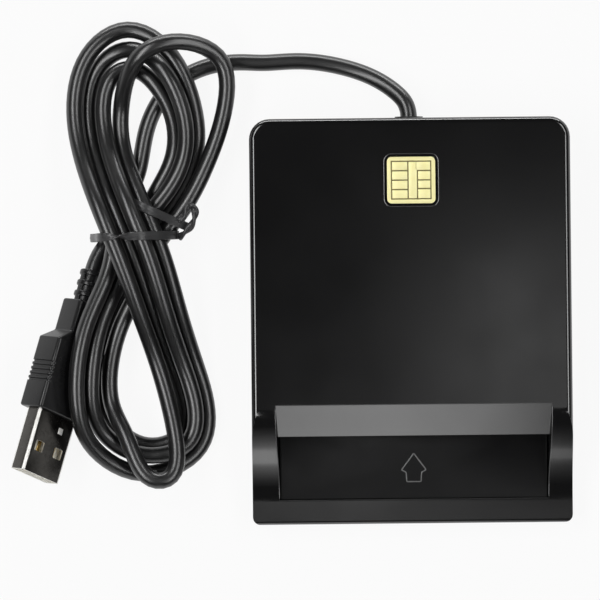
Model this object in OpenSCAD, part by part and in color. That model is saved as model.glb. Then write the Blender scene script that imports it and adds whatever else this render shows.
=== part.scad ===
// Desk reader for chip cards: a low glossy case with a card slot under a cut-away brow,
// a captive cable folded into a tied hank, and a plug on its end.
// Origin: centre of the case, on the surface it stands on. +Y is the cable side, +Z is up.

/* [Case] */
// Width of the case
body_w = 75; // [72:1:90]
// Length of the case, from the front lip to the cable side
body_l = 95; // [92:1:110]
// Height of the top face above the table
body_h = 16; // [15.8:0.2:20]
// Thickness of the moulded skins
wall = 1.6; // [1.2:0.1:1.8]
// Corner radius at the cable side, seen from above
rear_r = 4.8; // [3:0.2:7]
// Corner radius at the front lip, seen from above
front_r = 1.8; // [1.6:0.1:3]
// Rounding of the top edge
rim_r = 1.4; // [0.8:0.1:1.5]
// Height of the parting line between the two covers, as a share of the case's height
split_share = 0.2625; // [0.24:0.0025:0.2875]

/* [Card slot] */
// Width of a standard card
card_w = 54; // [53:0.5:56]
// Height of the card slot
slot_h = 1; // [0.9:0.05:1.2]
// Height of the plate that the card slides on, as a share of the case's height
plate_share = 0.43125; // [0.4125:0.00625:0.44375]
// Height of the open mouth in front of the slot, as a share of the case's height
mouth_share = 0.275; // [0.2625:0.00625:0.3125]
// Height of the sunk floor in front of the mouth, as a share of the case's height
floor_share = 0.3375; // [0.325:0.00625:0.35]
// Height of the low front lip, as a share of the case's height
lip_share = 0.425; // [0.3875:0.00625:0.4625]
// Depth of the front lip, front to back
lip_d = 5.8; // [5:0.2:7]
// Length of the sunk floor that shows from above
floor_l = 14.9; // [13:0.1:16]
// Run of the sloping brow over the mouth
brow_run = 7.3; // [6:0.1:8]
// Width of the sunk floor
recess_w = 62.5; // [60:0.5:64]
// Room behind the end of the card
rear_room = 7.5; // [7:0.1:8.5]

/* [Chip emblem] */
// Width of the gold emblem on the top face
emblem_w = 11.3; // [9:0.1:13]
// Length of the gold emblem
emblem_l = 10.9; // [9:0.1:13]
// Distance of its middle from the cable side
emblem_back = 14.6; // [12:0.1:18]

/* [Board] */
// Thickness of the circuit board
board_t = 1.6; // [1.2:0.1:1.6]
// Room for components above the board
part_room = 1.3; // [1.2:0.1:1.6]
// Pitch of the card contacts
pitch = 2.54; // [2.3:0.02:2.7]
// Free length of a contact spring
spring_l = 7; // [6:0.2:7.6]

/* [Feet and screws] */
// Height that the feet stand proud
stand = 1; // [0.8:0.1:1.2]
// Diameter of a foot
foot_d = 8; // [7:0.5:9]
// Diameter of the case screw's thread
screw_d = 2.2; // [2:0.1:2.4]
// Diameter of the board screw's thread
board_screw_d = 2; // [1.8:0.1:2.2]

/* [Cable and plug] */
// Diameter of the cable
cord_d = 3.9; // [3.4:0.1:3.9]
// Width of the plug's metal shell
shell_w = 12; // [11.6:0.1:12.4]
// Thickness of the plug's metal shell
shell_t = 4.5; // [4.3:0.1:4.7]
// Length of the metal shell that shows
shell_l = 15; // [13.5:0.5:15.5]
// Width of the plug's grip
grip_w = 15; // [14.6:0.1:15.4]
// Thickness of the plug's grip
grip_t = 7.6; // [7.2:0.1:7.8]
// Length of the plug's grip
grip_l = 17; // [16:0.5:17.5]

/* [Hidden] */
$fn = 48;

// Overrun of every cut past the face that it leaves
over = 0.5;
// Clearance between pieces that are put together
fit = 0.1;
// Sides and rings of blended shapes
blend_fn = 32;
arc_steps = 10;

// Case outline
front_y = -body_l / 2;
rear_y = body_l / 2;
side_x = body_w / 2;
inner_x = side_x - wall;
rear_in = rear_y - wall;
front_in = front_y + wall;
ceiling = body_h - wall;
base_top = stand + wall;
split_z = body_h * split_share;

// Recess in front of the mouth, and the mouth itself
floor_z = body_h * floor_share;
slot_z = body_h * plate_share;
lip_z = body_h * lip_share;
lip_y = front_y + lip_d;
mouth_y = lip_y + floor_l;
brow_y = mouth_y + brow_run;
mouth_top = floor_z + body_h * mouth_share;
tunnel_l = 3;
tunnel_y = mouth_y + tunnel_l;
lead_l = 9.8;
lead_y = tunnel_y + lead_l;
brow_slope = (body_h - mouth_top) / brow_run;
brow_skin = 2.4;
recess_shift = 0.35;
recess_draft = 0.9;
slot_top = slot_z + slot_h;
recess_left = recess_shift - recess_w / 2;
recess_right = recess_shift + recess_w / 2;

// Side arms beside the recess, which fall to the lip in an S
arm_run = 22;
arm_back = 0.9;
arm_top_y = brow_y - arm_back;
arm_foot_y = arm_top_y - arm_run;
lip_r = 0.8;

// Card plate, guides and stops
guide_gap = 0.2;
guide_t = 1.2;
guide_x = card_w / 2 + guide_gap;
plate_x = guide_x + guide_t;
stop_y = rear_y - rear_room;
stop_w = 7;
stop_t = 1.2;
stop_h = 1.7;
stop_x = 6.5;

// Frame and board over the slot
frame_z = slot_top + fit;
board_z = ceiling - part_room - board_t;
board_top = board_z + board_t;
board_w = 2 * plate_x;
board_gap = 0.5;
board_rear = rear_in - board_gap;
board_share = 0.405;
board_l = body_l * board_share;
board_front = board_rear - board_l;
ear_w = 6.2;
ear_l = 8;
ear_y = board_front + ear_l / 2;
post_d = 5;
post_x = plate_x + post_d / 2 + board_gap;
frame_rear = stop_y - fit;
frame_wall = 1.4;
room = board_z - slot_top;

// Contacts of the card, which lie off its centre line as the chip does
row_gap = 7.62;
first_row = 11.25;
chip_x = 3.1;
rear_row_y = stop_y - first_row;
front_row_y = rear_row_y - row_gap;
contacts = 4;
finger_w = 1.1;
finger_t = 0.2;
root_share = 0.25;
finger_z = frame_z + room * root_share;
tip_r = 0.5;
tip_clear = 0.2;
window_gap = 0.5;
window_w = (contacts - 1) * pitch + finger_w + 2 * window_gap;
root_l = 1.6;
root_play = 0.3;
pivot_front = front_row_y - spring_l;
pivot_rear = rear_row_y + spring_l;
frame_front = pivot_front - root_l - frame_wall;

// Card switch behind the contacts
switch_x = -20;
switch_w = 6;
switch_l = 4.4;
switch_in = 1.8;
switch_y = stop_y - switch_in;
switch_pin_d = 1;
pin_share = 0.5;
switch_pin_z = slot_top + room * pin_share;
ear_t = 1.2;
lever_t = 0.8;
lever_gap = 0.3;
lever_reach = switch_pin_z - slot_z - lever_gap;

// Components on the board
chip_w = 7;
chip_h = 1;
chip_back = 23.4;
chip_y = board_rear - chip_back;
leg_w = 0.3;
leg_l = 1;
leg_t = 0.2;
leg_pitch = 0.8;
legs = 8;
crystal_w = 5;
crystal_l = 3.2;
crystal_h = 1.1;
crystal_x = -9.5;
small_w = 1.25;
small_l = 2;
cap_h = 0.9;
res_h = 0.5;
small_pitch = 3.4;
cap_back = 12.4;
cap_y = board_rear - cap_back;
res_x = 10;
res_back = 29.4;
res_y = board_rear - res_back;
smalls = 5;

// Wire socket under the rear edge of the board
ways = 4;
way = 2;
socket_x = 15;
socket_ends = 1.8;
socket_w = ways * way + socket_ends;
socket_d = 3.4;
socket_share = 0.45;
socket_h = (board_z - base_top) * socket_share;
socket_y = stop_y + stop_t + fit + socket_d / 2;
socket_wall = 0.5;
socket_floor = 1;
housing_share = 0.8;
housing_in = (socket_h - socket_floor) * housing_share;
housing_out = 0.5;
wire_d = 0.7;
wire_pitch = 0.78;
wire_bend = 1.5;

// Screws, bosses and feet
boss_wall = 1.7;
boss_d = screw_d + 2 * boss_wall;
boss_in = 5.3;
boss_x = side_x - boss_in;
boss_back = 11.5;
boss_ahead = 5;
boss_rear = rear_y - boss_back;
boss_front = lead_y + boss_ahead;
head_d = 4;
head_h = 1.3;
head_sink = 1.8;
screw_l = 8;
pilot_l = 6;
board_head_d = 3.4;
board_head_h = 1.1;
board_screw_share = 0.57;
board_screw_l = (board_top - base_top) * board_screw_share;
cross_share = 0.7;
cross_w = 0.55;
foot_x = 26;
foot_inset = 7.5;
foot_sink = 0.5;
foot_clear = 0.1;
foot_edge = 0.4;

// Emblem and its recess
emblem_x = 0.3;
emblem_y = rear_y - emblem_back;
emblem_r = 1.1;
emblem_t = 0.5;
emblem_gap = 0.6;
emblem_sink = 0.65;
line_w = 0.25;
line_d = 0.12;
frame_in = 1.05;

// Arrow cut in the sunk floor
arrow_back = 4.9;
arrow_point = 3.9;
arrow_wing = 5.3;
arrow_notch = 3.6;
arrow_drop = 0.55;
arrow_leg = 2.2;
arrow_w = 0.3;
arrow_d = 0.25;

// Grommet at the middle of the rear wall
exit_share = 0.40625;
exit_z = body_h * exit_share;
flange_w = 6.6;
flange_t = 0.4;
neck_w = 5;
inner_flange_t = 1.2;

// Plug pose and sizes
hank_left = 24.5;
hank_back = 26;
hank_x = -side_x - hank_left;
hank_y = rear_y - hank_back;
hank_turn = -0.6;
plug_turn = 254.3;
plug_rise = 10.5;
plug_roll = 43;
relief_l = 7.8;
relief_d = 5.5;
relief_core = 4.5;
relief_slots = 3;
neck_block_w = 8;
neck_block_t = 5.6;
neck_block_l = 8.4;
flare_l = 2.2;
grip_r = 0.9;
grip_start = relief_l + neck_block_l + flare_l;
grip_end = grip_start + grip_l;
groove_w = 0.7;
groove_d = 0.5;
groove_pitch = 1.5;
grooves = 4;
groove_share = 0.58;
shell_skin = 0.3;
shell_in = 3;
window_size = 2.4;
window_x = 2.5;
window_s = 5.2;
tongue_t = 1.8;
tongue_back = 0.6;
strip_w = 1;
strip_t = 0.15;
strips = 4;
strip_pitch = 2.3;
strip_l = 8;

// Route of the cable from the middle of its hole in the case, by hand, with its heights
lead_steps = [
    [0, -5, exit_z], [0, -2.9, exit_z], [0, -0.8, exit_z], [0, 1.5, 6.4], [-0.8, 4.1, 5.9],
    [-3.2, 6.5, 4.8], [-6.8, 9.1, 3.5], [-12, 11.5, 2.4], [-19.6, 13.4, 2], [-26.6, 14, 2]];
lead_route = [for (p = lead_steps) p + [0, rear_y, 0]];

// Hank: stations that every loop passes, in the hank's own frame with the waist at its zero.
// x, y, step of x and y for each loop further out, height of the lower layer, layer height.
// The first three come down on the right, then the waist from above, the lower loop,
// the waist from below, which lies over the first, and the upper loop.
stations = [
    [12.6, 27, -2.65, 0, 6.5, 3.6], [12, 17, -2.5, 0.2, 2.8, 3.8], [7.6, 7.4, -2.2, 1.7, 2.8, 3.9],
    [0.6, -2.2, -2, 2.3, 3, 3.8], [-1.4, -12, -2.3, 1, 2.6, 3.8],
    [-6.6, -20.6, -2.25, 0.4, 2, 3.9], [-9.2, -31, -2.3, 0, 2, 3.9],
    [-8.8, -41, -2.35, -0.4, 2, 3.9], [-5.4, -46.6, -2.4, -1.2, 2, 3.9],
    [0.6, -48.9, -0.6, -2.9, 2, 3.9], [6.6, -47, 2.4, -1.9, 2, 3.7],
    [6.6, -40, 2.9, -0.6, 2, 3.5], [3, -31, 2.9, 0, 2, 4], [-1, -20, 3, 0.2, 8.6, 4],
    [-4.8, -9, 3.2, 0.8, 12.2, 3.4], [-8.2, -0.6, 3.1, 1, 13.4, 3.3],
    [-11.8, 8, 3.1, 1, 11.2, 3.3], [-15.6, 18.6, 3.2, 0.6, 4.2, 3.4], [-17.4, 30, 3.4, 0, 2, 3.4],
    [-14.8, 42.2, 3.2, -2.5, 2, 3], [-4.4, 50, 0.6, -5.5, 4.2, 0], [7.2, 42.6, -2.7, -3.3, 6.7, 3.3]];
down_last = 3;
top_right = 21;
loops = 4;
// Place of each loop among the others, on the right side going down and in the rest
nest = [3, 0, 1, 2];
right = [3.5, -1, 0, 1, 2];
layer = [0, 1, 0, 1, 0];
// Where a loop leaves its place: loop, station, then its shift
shifts = [
    [0, 3, [-0.6, -2.2, 5.2]], [0, 4, [0.8, 0, 7.2]], [0, 5, [0, 0, 10.4]], [0, 6, [0, 0, 13.4]],
    [0, 7, [-0.2, 0, 12.6]], [0, 8, [-0.8, -0.8, 8]], [0, 9, [0, -1.4, 2]],
    [0, 15, [0, 0, -1.3]], [0, 16, [0, 0, -1.2]], [0, 18, [1.1, 0, 1.2]], [0, 19, [2.2, 7.3, 12.8]], [0, 20, [10.6, 12.4, 8.4]],
    [0, 21, [21.2, 8.6, -1.6]],
    [1, 0, [3.4, 0, -1]], [1, 1, [0.4, 0, 0]], [1, 4, [1, 0, 0]], [1, 5, [0.9, 0, 0.3]],
    [1, 6, [0.6, 0, 0.6]], [1, 7, [0.2, 0, 0.6]], [1, 8, [1.2, -0.6, 5.4]],
    [1, 9, [-1.2, -10.4, 6.2]], [1, 10, [2.2, -11.2, 5.8]], [1, 11, [0, -4, 3.6]],
    [2, 3, [0.2, -0.2, 0]], [2, 4, [0.6, 0, 0]], [2, 5, [0.8, 0, 0]], [2, 6, [1.4, 0, 0]],
    [2, 7, [0.6, 0, 0]], [2, 8, [1.2, 0.8, 0]], [2, 9, [0, 0.6, 0]],
    [3, 3, [0.2, -0.2, -0.1]], [3, 4, [0.9, 0, -0.2]], [3, 5, [0.8, 0, 3.2]],
    [3, 6, [1.2, 0, 6.8]], [3, 7, [0.6, 0, 5.2]], [3, 8, [0.4, 0.6, 0.6]], [3, 9, [0, 1, 0]]];
// The run that comes in under the upper loops, and the run out to the plug
run_in = [
    [28, 39.6, 2], [23.3, 40, 2], [18.4, 39.8, 2], [13.6, 38.8, 2], [8.9, 36.6, 2],
    [5, 33.6, 2], [2.2, 29.4, 2], [0.2, 24.8, 2], [-0.8, 19.4, 2], [-1.6, 14, 2.6],
    [-3.8, 9, 4.4]];
run_to_plug = [[0, 4.8, 2.5], [-4.6, 0.8, 3], [-10.3, -3.2, 3.2], [-12.7, -9.6, 4.7]];
plug_axis = [cos(plug_rise) * cos(plug_turn), cos(plug_rise) * sin(plug_turn), sin(plug_rise)];
plug_pull = 12;
run_out = concat(run_to_plug, [run_to_plug[2] + plug_pull * plug_axis]);
lead_sides = 8;
hank_sides = 6;
samples = 2;
fine_samples = 5;
// Points nearer than this along the cable are the same run
same_run = 14;

// Twist tie round the waist: middle and heading of each loop, then its points by hand,
// along the heading and up
tie_w = 1.3;
tie_t = 0.5;
tie_loops = [
    [[3.2, 4.1], -23.8, [[7.4, 6.8], [6.6, 9], [3.6, 10.2], [0.4, 12.2], [-2.4, 14], [-4.6, 13.9],
        [-6.2, 12.8], [-8.6, 9.6], [-11, 7.4], [-11.6, 4.6], [-10, 2], [-6, 0.5], [-2, 0.5],
        [2, 0.5], [5, 1.4], [6.8, 3.8]]],
    [[-0.6, -1], 2, [[8.4, 6.8], [7.6, 10], [5.6, 13.6], [2.6, 17], [-0.2, 19], [-4, 18.7],
        [-7.4, 18.7], [-10, 17.4], [-10.4, 14], [-10.6, 9], [-12, 5.4], [-12.2, 2.6], [-10, 0.8],
        [-6, 0.5], [-2, 0.5], [2, 0.5], [5, 1.4], [7.4, 3.8]]]];
tie_steps = 3;
tail_d = 1.4;
tie_tail = [
    [6.8, -2, 6.4], [8.2, -0.5, 6.8], [9.9, 1.3, 7.8], [11.6, 3.3, 9], [12.8, 5.4, 9.2], [12.7, 7.2, 8.9],
    [13.4, 8.8, 8.8], [15.2, 9.4, 8.9]];

// Colours
black = [0.05, 0.05, 0.055];
soft_black = [0.09, 0.09, 0.095];
gold = [0.93, 0.8, 0.45];
steel = [0.72, 0.72, 0.72];
board_green = [0.05, 0.3, 0.16];
ivory = [0.9, 0.89, 0.84];

// Rows of points and small helpers
function flip(x) = [-x, x];
function place(p) = [
    hank_x + p[0] * cos(hank_turn) - p[1] * sin(hank_turn),
    hank_y + p[0] * sin(hank_turn) + p[1] * cos(hank_turn), p[2]];
function pick(k, j) = [for (s = shifts) if (s[0] == k && s[1] == j) s[2]];
function shift(k, j) = len(pick(k, j)) > 0 ? pick(k, j)[0] : [0, 0, 0];
function rank(k, j) = j < down_last ? right[k]
    : j > down_last ? nest[k]
    : k == 0 ? right[0] : (right[k] + nest[k]) / 2;
function level(k, j) = j == top_right ? 1 - layer[k] : layer[k];
function stop(k, j, s) = shift(k, j) + [
    s[0] + s[2] * rank(k, j), s[1] + s[3] * rank(k, j), s[4] + s[5] * level(k, j)];
function loop_points(k, first, last) = [for (j = [first:last]) stop(k, j, stations[j])];
hank_route = [for (p = concat(
    run_in, loop_points(0, down_last, top_right),
    [for (k = [1:loops - 1]) each loop_points(k, 0, top_right)],
    loop_points(loops, 0, down_last - 1), run_out)) place(p)];
cord_route = concat(lead_route, [for (i = [0:2]) hank_route[i]]);

// A smooth curve that the given points pull on, as a string of n points to each one
function blend_at(a, b, c, d, t) =
    (pow(1 - t, 3) * a + (3 * pow(t, 3) - 6 * t * t + 4) * b
    + (3 * (t + t * t - pow(t, 3)) + 1) * c + pow(t, 3) * d) / 6;
function curve(p, n) = concat(
    [for (i = [0:len(p) - 4], k = [0:n - 1]) blend_at(p[i], p[i + 1], p[i + 2], p[i + 3], k / n)],
    [(p[len(p) - 3] + 4 * p[len(p) - 2] + p[len(p) - 1]) / 6]);
function unit(v) = v / norm(v);
function heading(p, i) = unit(p[min(i + 1, len(p) - 1)] - p[max(i - 1, 0)]);
function end_heading(p, q, i) =
    i == 0 ? unit(q[2] - q[0])
    : i == len(p) - 1 ? unit(q[len(q) - 1] - q[len(q) - 3]) : heading(p, i);
function total(v, i = 0) = i < len(v) ? v[i] + total(v, i + 1) : 0;
function steps(p) = [for (i = [1:len(p) - 1]) norm(p[i] - p[i - 1])];
// Least distance between two runs of one tube, less its diameter
function least_gap(p, d, skip) = min([
    for (i = [0:len(p) - 1], j = [i + skip:1:len(p) - 1]) norm(p[i] - p[j])]) - d;

// A tube of w by t along points p, whose end faces stand square to the route q
module tube(p, q, w, t, sides, level = [0, 0, 1]) {
    rings = [for (i = [0:len(p) - 1])
        let (f = end_heading(p, q, i), s = unit(cross(f, level)), u = cross(s, f))
        [for (k = [0:sides - 1])
            p[i] + s * w / 2 * cos(360 * k / sides) + u * t / 2 * sin(360 * k / sides)]];
    last = (len(p) - 1) * sides;
    walls = [for (i = [0:len(p) - 2], k = [0:sides - 1])
        let (a = i * sides + k, b = i * sides + (k + 1) % sides)
        each [[a, b, a + sides], [b, b + sides, a + sides]]];
    caps = [for (k = [1:sides - 2])
        each [[0, k + 1, k], [last, last + k, last + k + 1]]];
    polyhedron(points = [for (r = rings) each r], faces = concat(walls, caps));
}

// A closed flat band whose ring of points p lies in an upright plane of heading s
module band(p, s, w, t) {
    n = len(p);
    rings = [for (i = [0:n - 1])
        let (out = unit(cross(s, p[(i + 1) % n] - p[(i + n - 1) % n])))
        [p[i] + s * w / 2, p[i] + s * w / 2 + out * t,
            p[i] - s * w / 2 + out * t, p[i] - s * w / 2]];
    faces = [for (i = [0:n - 1], k = [0:3])
        let (a = i * 4 + k, b = i * 4 + (k + 1) % 4, c = (i + 1) % n * 4 + k,
             d = (i + 1) % n * 4 + (k + 1) % 4)
        each [[a, b, c], [b, d, c]]];
    polyhedron(points = [for (r = rings) each r], faces = faces);
}

// Plan of the case, drawn in by a margin
module plan(in = 0) {
    w = body_w - 2 * in;
    front = front_y + in;
    rear = rear_y - in;
    rr = rear_r - in;
    fr = max(front_r - in, fit);
    translate([-w / 2, front + fr]) square([w, rear - rr - front - fr]);
    translate([rr - w / 2, rear - rr - over]) square([w - 2 * rr, rr + over]);
    translate([fr - w / 2, front]) square([w - 2 * fr, fr + over]);
    for (x = flip(w / 2 - rr)) translate([x, rear - rr]) circle(rr);
    for (x = flip(w / 2 - fr)) translate([x, front + fr]) circle(fr);
}

// Corner post of the outside, rounded at its top edge
module corner_post(r) {
    cylinder(h = body_h - rim_r - split_z, r = r, $fn = blend_fn);
    translate([0, 0, body_h - rim_r - split_z])
        rotate_extrude($fn = blend_fn) {
            square([r - rim_r, rim_r]);
            translate([r - rim_r, 0]) intersection() {
                circle(rim_r);
                square(rim_r);
            }
        }
}

module case_block() {
    translate([0, 0, split_z]) hull() {
        for (x = flip(side_x - rear_r)) translate([x, rear_y - rear_r, 0]) corner_post(rear_r);
        for (x = flip(side_x - front_r)) translate([x, front_y + front_r, 0]) corner_post(front_r);
    }
}

// A shape drawn in Y and Z, run along X from a to b
module along_x(a, b) {
    translate([a, 0, 0]) rotate([90, 0, 90]) linear_extrude(b - a) children();
}

// Side profile of the top cover: flat top, S at the arms, low lip
module side_profile() {
    h = body_h - lip_z;
    r = (arm_run * arm_run + h * h) / (4 * h);
    turn = asin(min(1, arm_run / (2 * r)));
    upper = [for (i = [0:arc_steps]) let (a = turn * i / arc_steps)
        [arm_top_y - r * sin(a), body_h - r + r * cos(a)]];
    lower = [for (i = [0:arc_steps]) let (a = turn * (1 - i / arc_steps))
        [arm_foot_y + r * sin(a), lip_z + r - r * cos(a)]];
    nose = [for (i = [0:arc_steps]) let (a = 90 * i / arc_steps)
        [front_y + lip_r - lip_r * sin(a), lip_z - lip_r + lip_r * cos(a)]];
    polygon(concat([[rear_y + over, split_z], [rear_y + over, body_h + over],
        [arm_top_y, body_h + over]], upper, lower, nose,
        [[front_y, split_z]]));
}

// Recess, mouth and lead-in, seen from the side
module mouth_profile() {
    lift = body_h + over;
    polygon([[lip_y, split_z - over], [lip_y, lift], [mouth_y + (lift - mouth_top) / brow_slope, lift],
        [mouth_y, mouth_top], [tunnel_y, mouth_top], [lead_y, slot_top], [lead_y + over, slot_top],
        [lead_y + over, split_z - over]]);
}

// The recess narrows towards its floor
module recess_prism() {
    low = split_z - over;
    lift = body_h + over;
    lean = recess_draft * (lift - low) / (body_h - floor_z);
    translate([0, lead_y + over, 0]) rotate([90, 0, 0])
        linear_extrude(lead_y + 2 * over - lip_y) polygon([
            [recess_left, low], [recess_right, low],
            [recess_right + lean, lift], [recess_left - lean, lift]]);
}

// Hollow behind the brow
module main_hollow() {
    top_run = (ceiling - mouth_top - wall) / brow_slope;
    along_x(-inner_x, inner_x) polygon([[rear_in, split_z - over], [rear_in, ceiling],
        [mouth_y + brow_skin + top_run, ceiling], [mouth_y + brow_skin, mouth_top + wall],
        [tunnel_y, mouth_top + wall], [lead_y, slot_top + wall], [lead_y, split_z - over]]);
}

// Hollow inside one arm
module arm_hollow(a, b) {
    along_x(a, b) polygon([[front_in, split_z - over], [front_in, lip_z - wall],
        [arm_foot_y + wall, lip_z - wall], [arm_top_y, ceiling - wall], [brow_y, ceiling],
        [lead_y + over, ceiling], [lead_y + over, split_z - over]]);
}

module case_bosses(d, z, h) {
    for (x = flip(boss_x), y = [boss_front, boss_rear])
        translate([x, y, z]) cylinder(h = h, d = d);
}

module neck_shape(gap, depth) {
    translate([-neck_w / 2 - gap, 0, split_z - over])
        cube([neck_w + 2 * gap, depth, exit_z - split_z + over]);
    translate([0, depth, exit_z]) rotate([90, 0, 0]) cylinder(h = depth, d = neck_w + 2 * gap);
}

module top_cover() {
    color(black) difference() {
        union() {
            difference() {
                intersection() {
                    case_block();
                    along_x(-side_x - over, side_x + over) side_profile();
                }
                intersection() {
                    recess_prism();
                    along_x(-side_x, side_x) mouth_profile();
                }
                main_hollow();
                arm_hollow(-inner_x, recess_left - recess_draft - wall);
                arm_hollow(recess_right + recess_draft + wall, inner_x);
                along_x(recess_left - recess_draft - wall - over,
                    recess_right + recess_draft + wall + over)
                    polygon([[front_in, split_z - over], [front_in, lip_z - wall],
                        [lip_y - wall, lip_z - wall], [lip_y - wall, split_z - over]]);
            }
            case_bosses(boss_d, split_z, ceiling - split_z + fit);
        }
        case_bosses(screw_d + fit, split_z - over, pilot_l + over);
        translate([0, rear_in - over, 0]) neck_shape(fit, wall + 2 * over);
        translate([emblem_x, emblem_y, body_h - emblem_sink])
            rounded_plate(emblem_w + 2 * emblem_gap, emblem_l + 2 * emblem_gap,
                emblem_r + emblem_gap, emblem_sink + over);
    }
}

module rounded_plate(w, l, r, h) {
    linear_extrude(h) {
        square([w - 2 * r, l], center = true);
        square([w, l - 2 * r], center = true);
        for (x = flip(w / 2 - r), y = flip(l / 2 - r)) translate([x, y]) circle(r);
    }
}

// A narrow groove from a to b, drawn as a flat bar
module stroke(a, b, w) {
    run = b - a;
    translate(a) rotate(atan2(run[1], run[0])) translate([-w / 2, -w / 2])
        square([norm(run) + w, w]);
}

module arrow_2d() {
    half = arrow_wing / 2 + arrow_d;
    pts = [[0, arrow_point], [half, 0], [arrow_notch / 2, -arrow_drop],
        [arrow_notch / 2 - arrow_d / 2, -arrow_drop - arrow_leg],
        [arrow_d / 2 - arrow_notch / 2, -arrow_drop - arrow_leg],
        [-arrow_notch / 2, -arrow_drop], [-half, 0]];
    for (i = [0:len(pts) - 1]) stroke(pts[i], pts[(i + 1) % len(pts)], arrow_w);
}

// Sunk floor and card plate, seen from the side
module plate_profile(a, b) {
    intersection() {
        polygon([[lip_y + guide_gap, floor_z - wall], [lip_y + guide_gap, floor_z],
            [tunnel_y, floor_z], [lead_y - over, slot_z], [stop_y, slot_z], [stop_y, slot_z - wall],
            [lead_y - over, slot_z - wall], [tunnel_y, floor_z - wall]]);
        translate([a, 0]) square([b - a, body_h]);
    }
}

module bottom_cover() {
    low_x = recess_left + guide_gap;
    high_x = recess_right - guide_gap;
    color(black) difference() {
        union() {
            difference() {
                translate([0, 0, stand]) linear_extrude(split_z - stand) plan(0);
                translate([0, 0, base_top]) linear_extrude(split_z) plan(wall);
            }
            along_x(low_x, high_x) plate_profile(lip_y, lead_y);
            along_x(-plate_x, plate_x) plate_profile(lead_y - over, stop_y);
            translate([low_x, lip_y + guide_gap, base_top - over])
                cube([high_x - low_x, guide_t, floor_z - wall / 2 - base_top + over]);
            for (x = [low_x, high_x - guide_t])
                translate([x, lip_y + guide_gap, base_top - over])
                    cube([guide_t, lead_y - lip_y - guide_gap, floor_z - wall / 2 - base_top + over]);
            for (x = [-plate_x, guide_x]) {
                translate([x, lead_y - over, base_top - over])
                    cube([guide_t, stop_y - lead_y + over, slot_z - wall / 2 - base_top + over]);
                translate([x, lead_y, slot_z - wall / 2])
                    cube([guide_t, stop_y - lead_y, slot_h + wall / 2]);
            }
            for (x = [-stop_x - stop_w, stop_x])
                translate([x, stop_y, base_top - over])
                    cube([stop_w, stop_t, slot_z + stop_h - base_top + over]);
            case_bosses(boss_d + 2 * fit, stand, split_z - stand);
            for (x = flip(post_x)) translate([x, ear_y, base_top - over])
                cylinder(h = board_z - base_top + over, d = post_d);
        }
        case_bosses(screw_d + 4 * fit, stand - over, split_z);
        case_bosses(head_d + 4 * fit, stand - over, head_sink + over);
        for (x = flip(post_x)) translate([x, ear_y, board_z - board_screw_l])
            cylinder(h = board_screw_l + over, d = board_screw_d + fit);
        for (x = flip(foot_x), y = [front_y + foot_inset, rear_y - foot_inset])
            translate([x, y, stand - over]) cylinder(h = foot_sink + over, d = foot_d + 2 * foot_clear);
        translate([recess_shift, lip_y + arrow_back + arrow_d, floor_z - arrow_d])
            linear_extrude(arrow_d + over) translate([0, arrow_leg - arrow_drop]) arrow_2d();
    }
}

module chip_emblem() {
    half_w = emblem_w / 2 - frame_in;
    half_l = emblem_l / 2 - frame_in;
    v1 = -half_w + 2 * half_w * first_col_share;
    v2 = -half_w + 2 * half_w * second_col_share;
    rows = [for (s = row_shares) half_l - 2 * half_l * s];
    color(gold) translate([emblem_x, emblem_y, body_h - emblem_sink]) difference() {
        rounded_plate(emblem_w, emblem_l, emblem_r, emblem_t);
        translate([0, 0, emblem_t - line_d]) linear_extrude(line_d + over) {
            for (x = flip(half_w)) stroke([x, -half_l], [x, half_l], line_w);
            for (y = flip(half_l)) stroke([-half_w, y], [half_w, y], line_w);
            stroke([v1, -half_l], [v1, half_l], line_w);
            stroke([v2, -half_l], [v2, rows[0]], line_w);
            for (y = rows) {
                stroke([-half_w, y], [v1, y], line_w);
                stroke([v2, y], [half_w, y], line_w);
            }
        }
    }
}
first_col_share = 0.42;
second_col_share = 0.66;
row_shares = [0.25, 0.5, 0.75];

module circuit_board() {
    color(board_green) difference() {
        translate([0, 0, board_z]) union() {
            translate([-board_w / 2, board_front, 0]) cube([board_w, board_l, board_t]);
            translate([-board_w / 2 - ear_w, board_front, 0])
                cube([board_w + 2 * ear_w, ear_l, board_t]);
        }
        for (x = flip(post_x)) translate([x, ear_y, board_z - over])
            cylinder(h = board_t + 2 * over, d = board_screw_d + 4 * fit);
    }
}

// Opening over one row of contacts
module row_window(low, high) {
    translate([chip_x - window_w / 2, low, frame_z - over])
        cube([window_w, high - low, board_z - frame_z - frame_wall + over]);
}

module connector_frame() {
    span = 2 * plate_x;
    color(soft_black) difference() {
        translate([-span / 2, frame_front, frame_z])
            cube([span, frame_rear - frame_front, board_z - frame_z]);
        row_window(pivot_front, front_row_y + tip_r + window_gap);
        row_window(rear_row_y - tip_r - window_gap, pivot_rear);
        for (y = [pivot_front - root_l, pivot_rear])
            translate([chip_x - window_w / 2, y - fit, finger_z - finger_t / 2 - root_play])
                cube([window_w, root_l + 2 * fit, finger_t + 2 * root_play]);
        translate([switch_x - switch_w / 2 - fit, switch_y - switch_l / 2 - fit, frame_z - over])
            cube([switch_w + 2 * fit, switch_l + rear_room, board_z]);
        translate([-span / 2 + frame_wall, frame_front + frame_wall, frame_z + frame_wall])
            cube([chip_x - window_w / 2 - 2 * frame_wall + span / 2,
                switch_y - switch_l / 2 - frame_front - 3 * frame_wall, board_z]);
    }
}

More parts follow.
